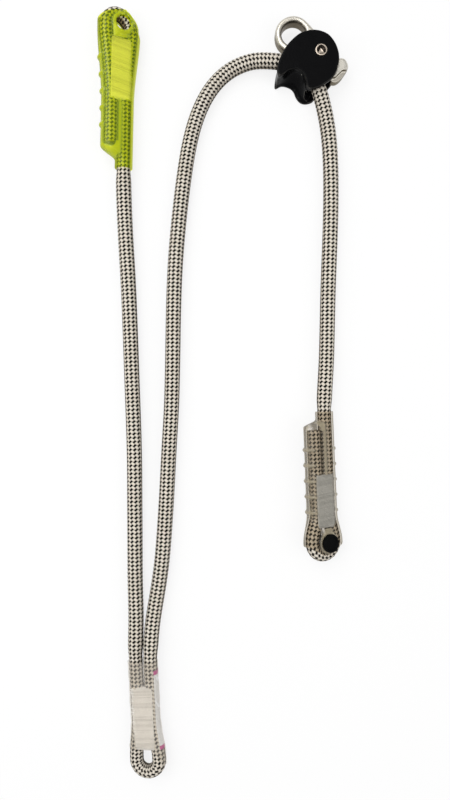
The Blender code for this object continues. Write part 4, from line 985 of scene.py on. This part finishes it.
# All rows: one at each step along the pad, each a little out of line and with its own tone
rows = add("Math", (given["Length"], given["Pitch"]), operation="DIVIDE")
half_length = add("Math", (given["Length"], 0.5), operation="MULTIPLY")
less_length = add("Math", (half_length, -1.0), operation="MULTIPLY")
start = add("CombineXYZ", (0.0, less_length, hug))
stop = add("CombineXYZ", (0.0, half_length, hug))
spine = {"Count": rows, "Start Location": start, "Offset": stop}
spine = add("GeometryNodeMeshLine", spine, mode="END_POINTS")
tone = add("FunctionNodeRandomValue", {"Min": 0.0, "Max": 1.0, "Seed": 3}, data_type="FLOAT")
out_of_line = (0.5 * MM, 0.09 * MM, 0.05 * MM)
jitter = add(
    "FunctionNodeRandomValue",
    {"Min": [-most for most in out_of_line], "Max": out_of_line, "Seed": 7}, data_type="FLOAT_VECTOR",
)
spine = add("GeometryNodeSetPosition", {"Geometry": spine, "Offset": jitter})
toned = add(
    "GeometryNodeStoreNamedAttribute", {"Geometry": spine, "Name": "row_tone", "Value": tone},
    data_type="FLOAT", domain="POINT",
)
face = add("GeometryNodeInstanceOnPoints", {"Points": toned, "Instance": one_row})
under = add("GeometryNodeTransform", {"Geometry": face, "Scale": (1.0, 1.0, -1.0)})
under = add("GeometryNodeFlipFaces", (add("GeometryNodeRealizeInstances", (under,)),))
joined = add("GeometryNodeJoinGeometry", (face,))
for part in (under, given["Pad"]):
    thread_tree.links.new(part, joined.node.inputs[0])
smooth = add("GeometryNodeSetShadeSmooth", (add("GeometryNodeRealizeInstances", (joined,)),))
finished = add("GeometryNodeSetMaterial", {"Geometry": smooth, "Material": given["Thread"]})
add("NodeGroupOutput", {0: finished})


def sewing_thread(name, light, deep, dirty):
    """Bonded polyester thread: a soft sheen, and each row a little cleaner or dirtier than the next."""
    material, add, place = new_material(name)
    twist = add("TexNoise", (place, 2200.0, 2.0))
    color = add("Mix", (twist, light, deep))
    row_tone = add("Attribute", attribute_name="row_tone", result="Fac")
    dull = add("MapRange", (row_tone, 0.45, 0.95, 0.0, 0.28))
    color = add("Mix", (dull, color, dirty))
    bump = add("Bump", {"Height": twist, "Strength": 0.3, "Distance": 0.1 * MM})
    surface = {"Base Color": color, "Roughness": 0.6, "Normal": bump, "IOR": 1.54, "Sheen Weight": 0.1}
    add("OutputMaterial", (add("BsdfPrincipled", surface),))
    return material


white_thread = sewing_thread("white_bonded_polyester_thread", "#fbf9f6", "#e4dfd8", "#8f897f")
grey_thread = sewing_thread("grey_bonded_polyester_thread", "#c4c5c3", "#a9aaa8", "#666763")
for name, end, thread, slant, aside, wide, hug in (
    ("fixed_end", FIXED, white_thread, -2.8 * MM, -1.5 * MM, 15.6 * MM, 5.55 * MM),
    ("free_end", FREE, grey_thread, 1.2 * MM, 0.5 * MM, 14.6 * MM, 5.55 * MM),
    ("harness", HARNESS, white_thread, 0.8 * MM, -0.9 * MM, 15.4 * MM, 5.2 * MM),
):
    length = end["stitch_end"] - end["stitch_start"]
    rings = []
    for step in range(25):
        along = length * (step / 24 - 0.5)
        drawn = PAD_EDGE * (1 - smooth_share(min(step, 24 - step) / 1.5))
        ring = []
        for part in range(48):
            face, share = divmod(part, 24)
            up = 1 - 2 * face
            across = up * (wide / 2 - drawn) * (1 - 2 * share / 23) + aside
            past = max(abs(across) - STRAND_OFFSET, 0.0)
            ring.append((across, along, up * ((hug**2 - past**2) ** 0.5 - THREAD_SINK - drawn)))
        rings.append(ring)
    sewing = loft(name + "_thread_rows", rings)
    rows = sewing.modifiers.new("thread_rows", "NODES")
    rows.node_group = thread_tree
    sizes = {
        "Length": length - ROW_MARGIN - abs(slant), "Width": wide - PAD_EDGE, "Aside": aside,
        "Strand offset": STRAND_OFFSET, "Hug radius": hug,
        "Pitch": THREAD_PITCH, "Thread radius": THREAD_RADIUS, "Slant": slant, "Thread": thread,
    }
    for socket in thread_tree.interface.items_tree:
        if socket.in_out == "INPUT" and socket.name in sizes:
            rows[socket.identifier] = sizes[socket.name]
    settled(sewing)
    middle = (end["stitch_end"] + end["stitch_start"]) / 2
    for vertex in sewing.data.vertices:
        vertex.co.y += middle
    placed(sewing, end)
    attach(sewing, "lanyard")
    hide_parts(name + "_stitching")


# Eye plug: black rubber, pressed through the free end's eye from the front; a broad dished head, a shank
# and a smaller foot that keeps it in.
PLUG_FACE = 7.8 * MM
PLUG_TOP = 10.4 * MM
PLUG_RADIUS = 6.5 * MM
PLUG_ROUND = 0.7 * MM
DISH_RADIUS, DISH_MIDDLE, DISH_SIDE = 4.5 * MM, 9.7 * MM, 9.6 * MM
LIP_INNER = 5.0 * MM
SHANK_RADIUS = 4.0 * MM
FOOT_RADIUS = 5.4 * MM
FOOT_END = -8.8 * MM


def turned_solid(name, profile, closed=False, sides=64):
    """A solid turned round its own upright axis, from a profile that closes or ends on the axis."""
    count = len(profile)
    points = []
    faces = []
    for step in range(sides):
        angle = 2 * math.pi * step / sides
        points += [(*around(radius, angle), high) for radius, high in profile]
        here, there = step * count, (step + 1) % sides * count
        for index in range(count if closed else count - 1):
            after = (index + 1) % count
            faces.append((here + index, there + index, there + after, here + after))
    return solid(name, points, faces)


def rounded(corners, radius, steps=5):
    """The corners of a profile, each rounded by up to the radius."""
    line = [corners[0]]
    for before, corner, after in zip(corners, corners[1:], corners[2:]):
        here = Vector(corner)
        to_before, to_after = Vector(before) - here, Vector(after) - here
        reach = min(radius, 0.45 * to_before.length, 0.45 * to_after.length)
        start, stop = here + to_before.normalized() * reach, here + to_after.normalized() * reach
        for share in [step / steps for step in range(steps + 1)]:
            line.append(tuple(start.lerp(here, share).lerp(here.lerp(stop, share), share)))
    return line + [corners[-1]]


profile = [
    (0.0, DISH_MIDDLE), (DISH_RADIUS, DISH_SIDE), (LIP_INNER, PLUG_TOP), (PLUG_RADIUS, PLUG_TOP),
    (PLUG_RADIUS, PLUG_FACE), (SHANK_RADIUS, PLUG_FACE), (SHANK_RADIUS, -PLUG_FACE),
    (FOOT_RADIUS, -PLUG_FACE), (FOOT_RADIUS, FOOT_END), (0.0, FOOT_END),
]
plug = turned_solid("eye_plug_rubber", rounded(profile, PLUG_ROUND))
placed(plug, FREE)
# Moulded rubber: deep matt black, with a fine dusty grain and hardly any gloss
rubber, add, place = new_material("moulded_black_rubber")
dust = add("TexNoise", (place, 700.0, 4.0))
color = add("Mix", (dust, "#020202", "#080808"))
rough = add("MapRange", (dust, 0.0, 1.0, 0.42, 0.7))
bump = add("Bump", {"Height": dust, "Strength": 0.25, "Distance": 0.1 * MM})
surface = add(
    "BsdfPrincipled",
    {"Base Color": color, "Roughness": rough, "Normal": bump, "IOR": 1.52, "Specular IOR Level": 0.05},
)
add("OutputMaterial", (surface,))
coated(plug, rubber)
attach(plug, "lanyard")
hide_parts("free_end_eye_plug")


# Adjuster body: one aluminium forging, black anodised. Two cheeks are joined by a web that the rope bends
# round, and the web's outside is a thumb scoop. All its edges are tumbled round.
PLATE = 3.0 * MM
CHANNEL_HALF = 6.7 * MM
SHARED_OUTLINE = [
    (-30.9, -12.4), (-29.1, -5.6), (-24.7, 2.8), (-20.2, 8.1), (-14.4, 12.6), (-8.2, 14.6),
    (-3.7, 14.8), (0.7, 13.9), (5.2, 11.7), (8.8, 7.7), (11.0, 3.7), (12.5, -1.2),
    (12.8, -6.1), (11.8, -11.4), (10.1, -15.9), (7.4, -19.5), (3.4, -22.6), (-1.1, -25.3),
]
FRONT_SCOOP = [
    (-5.5, -26.6), (-8.2, -26.9), (-9.9, -25.3), (-10.9, -20.8), (-12.6, -16.3),
    (-15.3, -13.9), (-18.2, -12.8), (-22.5, -13.8), (-26.6, -16.8), (-29.6, -17.6),
]
BACK_SCOOP = [
    (-4.3, -29.1), (-8.9, -30.4), (-12.4, -29.7), (-14.7, -27.7), (-16.5, -24.8),
    (-17.4, -22.3), (-19.3, -19.8), (-22.7, -18.1), (-26.5, -17.5), (-31.1, -19.3),
]
SADDLE_RADIUS = 5.6 * MM
SADDLE_LEAST = 1.0 * MM
# How steeply the scoop runs out from the front cheek to the back one: 1 is straight
SCOOP_HOLLOW = 1.5
# The step beside the back cheek: its share of the way, and the share of the height that it takes
SCOOP_STEP, SCOOP_STEP_SPAN = 0.10, 0.08
WEB_EASE = 0.2
WEB_INSET = 0.5 * MM
EDGE = 1.1 * MM
MOUTH_FLARE = [(-9.9, -22.4), (-10.6, -26.0), (-13.0, -29.4), (-16.0, -33.5)]
BODY_REACH = 70.0 * MM
FORGING_GRAIN = 0.34 * MM


def closed_curve(points, steps=6):
    """A smooth closed line through points given in millimetres."""
    flat = [Vector((x * MM, y * MM, 0.0)) for x, y in points]
    count = len(flat)
    line = []
    for index in range(count):
        four = [flat[(index + shift) % count] for shift in (-1, 0, 1, 2)]
        line += [spline_point(*four, step / steps) for step in range(steps)]
    return line


def drawn_in(line, inset, height):
    """A closed line, clockwise, moved inwards and laid at a height about the pivot."""
    ring = []
    for index, point in enumerate(line):
        along = (line[(index + 1) % len(line)] - line[index - 1]).normalized()
        ring.append(PIVOT + Vector((point.x + along.y * inset, point.y - along.x * inset, height)))
    return ring


def round_edge(wide, high, steps):
    """A rounded edge's steps from a face to the side below it, as (inset, depth under the face)."""
    turns = [math.pi / 2 * step / steps for step in range(steps + 1)]
    return [(wide * (1 - math.sin(turn)), high * (1 - math.cos(turn))) for turn in turns]


front_line = closed_curve(SHARED_OUTLINE + FRONT_SCOOP)
back_line = closed_curve(SHARED_OUTLINE + BACK_SCOOP)
edge_steps = round_edge(EDGE, EDGE, 5)
rings = [drawn_in(back_line, inset, depth) for inset, depth in edge_steps]
web_start, web_end = PLATE - WEB_INSET, BODY_HEIGHT - PLATE
for step in range(25):
    share = step / 24
    stepped = 1 - SCOOP_STEP + SCOOP_STEP * smooth_share(1 - share / SCOOP_STEP_SPAN)
    sweep = (1.0 - share) ** SCOOP_HOLLOW * stepped
    mixed = [front.lerp(back, sweep) for front, back in zip(front_line, back_line)]
    inset = WEB_INSET * smooth_share(share / WEB_EASE) * smooth_share((1 - share) / WEB_EASE)
    rings.append(drawn_in(mixed, inset, web_start + (web_end - web_start) * share))
rings += [drawn_in(front_line, inset, BODY_HEIGHT - depth) for inset, depth in edge_steps[::-1]]
forging = loft("adjuster_forging", rings)


def slot_level(height):
    """The channel's outline at a height: its edge follows the round rope, and flares at the mouth."""
    hollow = max(SADDLE_RADIUS**2 - (height - MID_HEIGHT) ** 2, SADDLE_LEAST**2) ** 0.5
    edge = [(held[2].x - 2 * ROPE_RADIUS, held[2].y - hollow)]
    for index in range(2, 7):
        along = (held[index + 1] - held[index - 1]).normalized()
        edge.append((held[index].x + along.y * hollow, held[index].y - along.x * hollow))
    back = SADDLE_RADIUS - hollow
    edge += [(PIVOT.x + x * MM + back, PIVOT.y + y * MM) for x, y in MOUTH_FLARE]
    far = [
        (PIVOT.x + BODY_REACH, edge[-1][1]), (PIVOT.x + BODY_REACH, PIVOT.y + BODY_REACH),
        (PIVOT.x - BODY_REACH, PIVOT.y + BODY_REACH), (PIVOT.x - BODY_REACH, edge[0][1]),
    ]
    return [(x, y, height) for x, y in edge + far]


levels = [MID_HEIGHT + CHANNEL_HALF * math.sin(math.pi / 2 * step / 10) for step in range(-10, 11)]
cut_out(forging, loft("adjuster_slot", [slot_level(height) for height in levels]))
melted(forging, FORGING_GRAIN, 5)


def round_tool(name, middle, profile, sides=64):
    """An upright round cutting tool about a middle, from a profile of radii and heights."""
    turns = [2 * math.pi * side / sides for side in range(sides)]
    rings = []
    for radius, height in profile:
        rings.append([middle + Vector((*around(radius, turn), height)) for turn in turns])
    return loft(name, rings)


for name, radius, bottom, top in (
    ("bolt_hole", 2.7 * MM, MID_HEIGHT, BODY_HEIGHT + MM),
    ("head_recess", 4.5 * MM, BODY_HEIGHT - 0.8 * MM, BODY_HEIGHT + MM),
    ("nut_hole", 4.0 * MM, -MM, MID_HEIGHT),
    ("flange_recess", 5.3 * MM, -MM, 1.5 * MM),
):
    cut_out(forging, round_tool(name, PIVOT, [(radius, bottom), (radius, top)]))

# Black anodised forging: a deep black satin from blasting, with a soft gloss and a few rubbed grey edges,
# which are real wear and also painted highlights along the rims
anodised, add, place = new_material("black_anodised_aluminium_forging")
blast = add("TexNoise", (place, 2400.0, 3.0))
rub = add("TexNoise", (place, 150.0, 5.0))
# Rubbed edges: real wear in patches, and also a painted highlight along the rims
edge = add("MapRange", (add("NewGeometry", result="Pointiness"), 0.515, 0.555, 0.0, 0.7))
wear_and_highlight = add("Math", (edge, rub), operation="MULTIPLY")
tone = add("Mix", (blast, "#050506", "#101011"))
color = add("Mix", (wear_and_highlight, tone, "#9a968f"))
rough = add("MapRange", (rub, 0.3, 0.7, 0.16, 0.26))
bump = add("Bump", {"Height": blast, "Strength": 0.35, "Distance": 0.06 * MM})
facing = add("SeparateXYZ", (add("NewGeometry", result="Normal"),), 2)
gloss = add("MapRange", (add("Math", (facing,), operation="ABSOLUTE"), 0.8, 0.99, 0.04, 0.05))
surface = add(
    "BsdfPrincipled",
    {"Base Color": color, "Roughness": rough, "Normal": bump, "IOR": 1.5, "Specular IOR Level": gloss},
)
add("OutputMaterial", (surface,))
coated(forging, anodised)
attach(forging, "adjuster")
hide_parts("adjuster_body")


# Cam: attachment eye, gripping nose and release tail in one aluminium forging, vibration polished to a
# warm satin and clear anodised. The eye's rim is rolled round where a connector bears.
CAM_BOTTOM = 4.0 * MM
CAM_TOP = 15.4 * MM
CAM_EYE = (-18.9, 14.2)
CAM_EYE_HOLE = 8.3 * MM
CAM_EYE_OUTER = 13.0
CAM_EYE_START, CAM_EYE_SWEEP = 48.0, 235.0
CAM_EDGE_WIDE = 2.25 * MM
CAM_EDGE_HIGH = 3.2 * MM
CAM_GRAIN = 0.25 * MM
HUB_BORE = 5.1 * MM
POCKET_INNER, POCKET_OUTER, POCKET_TOP = 5.8 * MM, 7.3 * MM, 8.6 * MM
STEP_DEPTH = 3.3 * MM
STEP_FALL, STEP_MIDDLE, STEP_SLOPE = 0.22, 28.0, 0.7
NOSE_RISE = 1.1
NOSE_SHAPE = [
    (-160, 0.0), (-148, 0.0), (-136, 0.0), (-124, 0.0), (-113, 0.5), (-103, 1.0), (-93, 0.8), (-84, 0.2),
]
CAM_TAIL = [
    (3.6, -9.6), (6.6, -15.5), (8.0, -18.6), (11.6, -19.0), (15.0, -16.6), (17.6, -13.1),
    (20.1, -8.5), (17.4, -3.1), (11.6, -2.2), (8.6, 3.0), (5.0, 7.4),
]
TAIL_STEP = [(4.0, -24.0), (24.0, -24.0), (24.0, -10.6), (15.6, -11.6), (10.5, -16.6), (4.0, -17.4)]
held_line = smooth_line([point - PIVOT for point in held], 20)
NOSE_REACH = min(math.hypot(point.x, point.y) for point in held_line) - ROPE_RADIUS - CLEARANCE
cam_line = []
for degrees, rise in NOSE_SHAPE:
    cam_line.append(around(NOSE_REACH / MM + NOSE_RISE * rise, math.radians(degrees)))
cam_line += CAM_TAIL
for step in range(33):
    across, along = around(CAM_EYE_OUTER, math.radians(CAM_EYE_START + CAM_EYE_SWEEP * step / 32))
    cam_line.append((CAM_EYE[0] + across, CAM_EYE[1] + along))
cam_line = closed_curve(cam_line[::-1], 3)
edge_steps = round_edge(CAM_EDGE_WIDE, CAM_EDGE_HIGH, 10)
rings = [drawn_in(cam_line, inset, CAM_BOTTOM + depth) for inset, depth in edge_steps]
rings += [drawn_in(cam_line, inset, CAM_TOP - depth) for inset, depth in edge_steps[::-1]]
cam_forging = loft("cam_forging", rings)
eye_middle = PIVOT + Vector((CAM_EYE[0] * MM, CAM_EYE[1] * MM, 0.0))
bore = [(CAM_EYE_HOLE + CAM_EDGE_WIDE, CAM_BOTTOM - MM)]
bore += [(CAM_EYE_HOLE + inset, CAM_BOTTOM + depth) for inset, depth in edge_steps]
bore += [(radius, CAM_BOTTOM + CAM_TOP - height) for radius, height in bore[::-1]]
cut_out(cam_forging, round_tool("cam_eye_bore", eye_middle, bore, 72))
rings = []
for fall, level in ((STEP_FALL, CAM_TOP - STEP_DEPTH), (0.0, CAM_TOP + MM)):
    slope = [(x, y, level - fall * (x - y - STEP_MIDDLE) * STEP_SLOPE * MM) for x, y in TAIL_STEP]
    rings.append([PIVOT + Vector((x * MM, y * MM, height)) for x, y, height in slope])
cut_out(cam_forging, loft("cam_tail_step", rings))
melted(cam_forging, CAM_GRAIN, 16)
hub = [(HUB_BORE, CAM_BOTTOM - MM), (HUB_BORE, CAM_TOP + MM)]
cut_out(cam_forging, round_tool("cam_hub_bore", PIVOT, hub))
pocket = [(POCKET_INNER, CAM_BOTTOM - MM), (POCKET_OUTER, CAM_BOTTOM - MM)]
pocket += [(POCKET_OUTER, POCKET_TOP), (POCKET_INNER, POCKET_TOP)]
pocket_tool = turned_solid("spring_pocket", pocket, True)
pocket_tool.data.transform(Matrix.Translation(PIVOT))
cut_out(cam_forging, pocket_tool)

# Satin clear anodised aluminium: warm and bright on its flats, with browner painted shade down its sides,
# low on its rounded edge and inside the eye
# Heights between which painted shade on the cam's lower parts fades out
PAINTED_SHADE_LOW, PAINTED_SHADE_HIGH = CAM_TOP - 4.5 * MM, CAM_TOP - 1.8 * MM
# How near the eye's middle the bore gets painted shade, and where that shade ends
BORE_SHADE_WITHIN, BORE_SHADE_TO = 9.0 * MM, 10.2 * MM
satin, add, place = new_material("satin_clear_anodised_aluminium")
tumble = add("TexNoise", (place, 1800.0, 3.0))
soft = add("TexNoise", (place, 120.0, 3.0))
crest = add("Mix", (soft, "#e9e5dc", "#d6d0c2"))
facing = add("SeparateXYZ", (add("NewGeometry", result="Normal"),), 2)
# Painted shade: the steeper a face, the darker brown it is painted
wall = add("MapRange", (add("Math", (facing,), operation="ABSOLUTE"), 0.05, 0.6, 1.0, 0.0))
color = add("Mix", (wall, crest, "#5f5645"))
# Painted shade on the cam's lower parts
low = add("MapRange", (add("SeparateXYZ", (place,), 2), PAINTED_SHADE_LOW, PAINTED_SHADE_HIGH, 0.5, 0.0))
color = add("Mix", (low, color, "#7d735f"))
# Painted shade inside the eye's bore
beside = add("VectorMath", (place, -eye_middle))
beside = add("VectorMath", (beside, (1.0, 1.0, 0.0)), operation="MULTIPLY")
away = add("VectorMath", (beside,), operation="LENGTH")
painted_bore_shade = add("MapRange", (away, BORE_SHADE_WITHIN, BORE_SHADE_TO, 0.75, 0.0))
color = add("Mix", (painted_bore_shade, color, "#5b5243"))
rough = add("MapRange", (soft, 0.3, 0.7, 0.33, 0.42))
bump = add("Bump", {"Height": tumble, "Strength": 0.05, "Distance": 0.02 * MM})
surface = add("BsdfPrincipled", {"Base Color": color, "Metallic": 1.0, "Roughness": rough, "Normal": bump})
add("OutputMaterial", (surface,))
coated(cam_forging, satin)
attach(cam_forging, "cam")
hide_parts("cam")


# Axle: a stainless bolt with a three-cornered drive goes through the front cheek into a sleeve nut in the
# back cheek. The cam's bronze bush turns on the nut's sleeve between two bronze washers.
HEAD_TOP = 20.5 * MM
HEAD_UNDER = 18.9 * MM
HEAD_RADIUS = 4.2 * MM
BOLT_RADIUS = 2.4 * MM
BOLT_END = 3.0 * MM
NUT_RADIUS = 3.7 * MM
NUT_INNER = 2.7 * MM
NUT_TOP = 16.1 * MM
NUT_FLANGE = 5.0 * MM
FLANGE_TOP = 1.2 * MM
BUSH_INNER = 4.0 * MM
BUSH_OUTER = 4.8 * MM
SHARP_ANGLE = math.radians(32.0)
DRIVE_TURN = math.radians(95.0)
THIRD = 2 * math.pi / 3
# The drive's hollow from its floor up: depth, and its round and its three-cornered share of the radius
DRIVE_LEVELS = [(2.3, 0.0, 2.3), (2.25, 0.1, 2.3), (0.22, 2.5, 0.8), (0.0, 2.75, 0.75), (-1.0, 2.95, 0.75)]


def turned_metal(name, light, deep, rough, rings):
    """A turned metal: its tool marks run round the pivot, its wear lies in patches, its sides are painted
    dark as shade.
    """
    material, add, place = new_material(name)
    moved = add("VectorMath", (place, -PIVOT))
    marks = add("TexWave", (moved, rings, 1.5, 2.0, 2.0), 1, wave_type="RINGS", rings_direction="Z")
    patches = add("TexNoise", (place, 400.0, 4.0))
    face = add("Mix", (patches, light, deep))
    # Painted shade: the steeper a face, the darker it is painted
    upright = add("SeparateXYZ", (add("NewGeometry", result="True Normal"),), 2)
    wall = add("MapRange", (upright, 0.8, 0.985, 0.95, 0.0))
    color = add("Mix", (wall, face, "#1c140f"))
    roughness = add("MapRange", (patches, 0.0, 1.0, rough - 0.06, rough + 0.12))
    bump = add("Bump", {"Height": marks, "Strength": 0.2, "Distance": 0.03 * MM})
    surface = {"Base Color": color, "Metallic": 1.0, "Roughness": roughness, "Normal": bump}
    add("OutputMaterial", (add("BsdfPrincipled", surface),))
    return material


steel = turned_metal("turned_stainless_steel", "#ecdfd0", "#cfbfac", 0.24, 900.0)
bronze = turned_metal("sintered_bearing_bronze", "#c79a5c", "#9a6f39", 0.42, 600.0)
wire_steel = turned_metal("drawn_spring_wire", "#b9b9bb", "#8b8b8f", 0.3, 1200.0)

bolt_profile = [
    (0.0, HEAD_TOP), (HEAD_RADIUS, HEAD_TOP), (HEAD_RADIUS, HEAD_UNDER), (BOLT_RADIUS, HEAD_UNDER),
    (BOLT_RADIUS, BOLT_END), (0.0, BOLT_END),
]
nut_profile = [
    (NUT_RADIUS, NUT_TOP), (NUT_RADIUS, FLANGE_TOP), (NUT_FLANGE, FLANGE_TOP), (NUT_FLANGE, 0.0),
    (NUT_INNER, 0.0), (NUT_INNER, NUT_TOP),
]
turned_pieces = [
    ("axle_bolt", "bolt", bolt_profile, 0.45 * MM, steel, "stainless_steel"),
    ("axle_sleeve_nut", "sleeve_nut", nut_profile, 0.25 * MM, steel, "stainless_steel"),
]
for node, name, outer, bottom, top in (
    ("cam_bush", "cam_bush_ring", BUSH_OUTER, CAM_BOTTOM, CAM_TOP),
    ("front_washer", "front_thrust_ring", 7.3 * MM, 15.65 * MM, 16.15 * MM),
    ("back_washer", "back_thrust_ring", 5.7 * MM, 3.25 * MM, 3.75 * MM),
):
    profile = [(outer, top), (outer, bottom), (BUSH_INNER, bottom), (BUSH_INNER, top)]
    turned_pieces.append((node, name, profile, 0.15 * MM, bronze, "bearing_bronze"))
for node, name, profile, edge, metal, slot in turned_pieces:
    if node == "axle_bolt":
        piece = turned_solid(name, rounded(profile, edge, 4))
        piece.data.transform(Matrix.Translation(PIVOT))
        rows = []
        for depth, middle, corner in DRIVE_LEVELS:
            ring = []
            for step in range(48):
                angle = 2 * math.pi * step / 48
                side = math.cos(THIRD / 2) / math.cos(angle % THIRD - THIRD / 2)
                corner_reach = (middle + corner * side) * MM
                spot = around(corner_reach, angle + DRIVE_TURN)
                ring.append(PIVOT + Vector((*spot, HEAD_TOP - depth * MM)))
            rows.append(ring)
        cut_out(piece, loft("bolt_drive", rows))
    else:
        closing = rounded([profile[-1], *profile, profile[0]], edge, 3)[1:-1]
        piece = turned_solid(name, closing, True)
        piece.data.transform(Matrix.Translation(PIVOT))
    coated(piece, metal)
    piece.data.set_sharp_from_angle(angle=SHARP_ANGLE)
    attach(piece, "adjuster")
    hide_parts(node)


# Cam spring: two and a half turns of spring wire round the cam's hub; one leg sits in the back cheek and
# the other in the cam.
COIL_RADIUS = 6.55 * MM
WIRE_RADIUS = 0.4 * MM
COIL_BOTTOM = 4.7 * MM
COIL_TOP = 7.825 * MM
LEG_LENGTH = 2.4 * MM
COIL_TURNS = 2.5
COIL_STEPS = 120
coil = []
for step in range(COIL_STEPS + 1):
    spot = around(COIL_RADIUS, 2 * COIL_TURNS * math.pi * step / COIL_STEPS)
    height = COIL_BOTTOM + (COIL_TOP - COIL_BOTTOM) * step / COIL_STEPS
    coil.append(PIVOT + Vector((*spot, height)))
legs = [Vector((0.0, 0.0, WIRE_RADIUS)), Vector((0.0, 0.0, WIRE_RADIUS + LEG_LENGTH))]
wire_line = [coil[0] - legs[1], coil[0] - legs[0], *coil[2:-2], coil[-1] + legs[0], coil[-1] + legs[1]]
spring = tube("spring_wire", wire_line, WIRE_RADIUS, 12)
coated(spring, wire_steel)
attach(spring, "adjuster")
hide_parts("cam_spring")
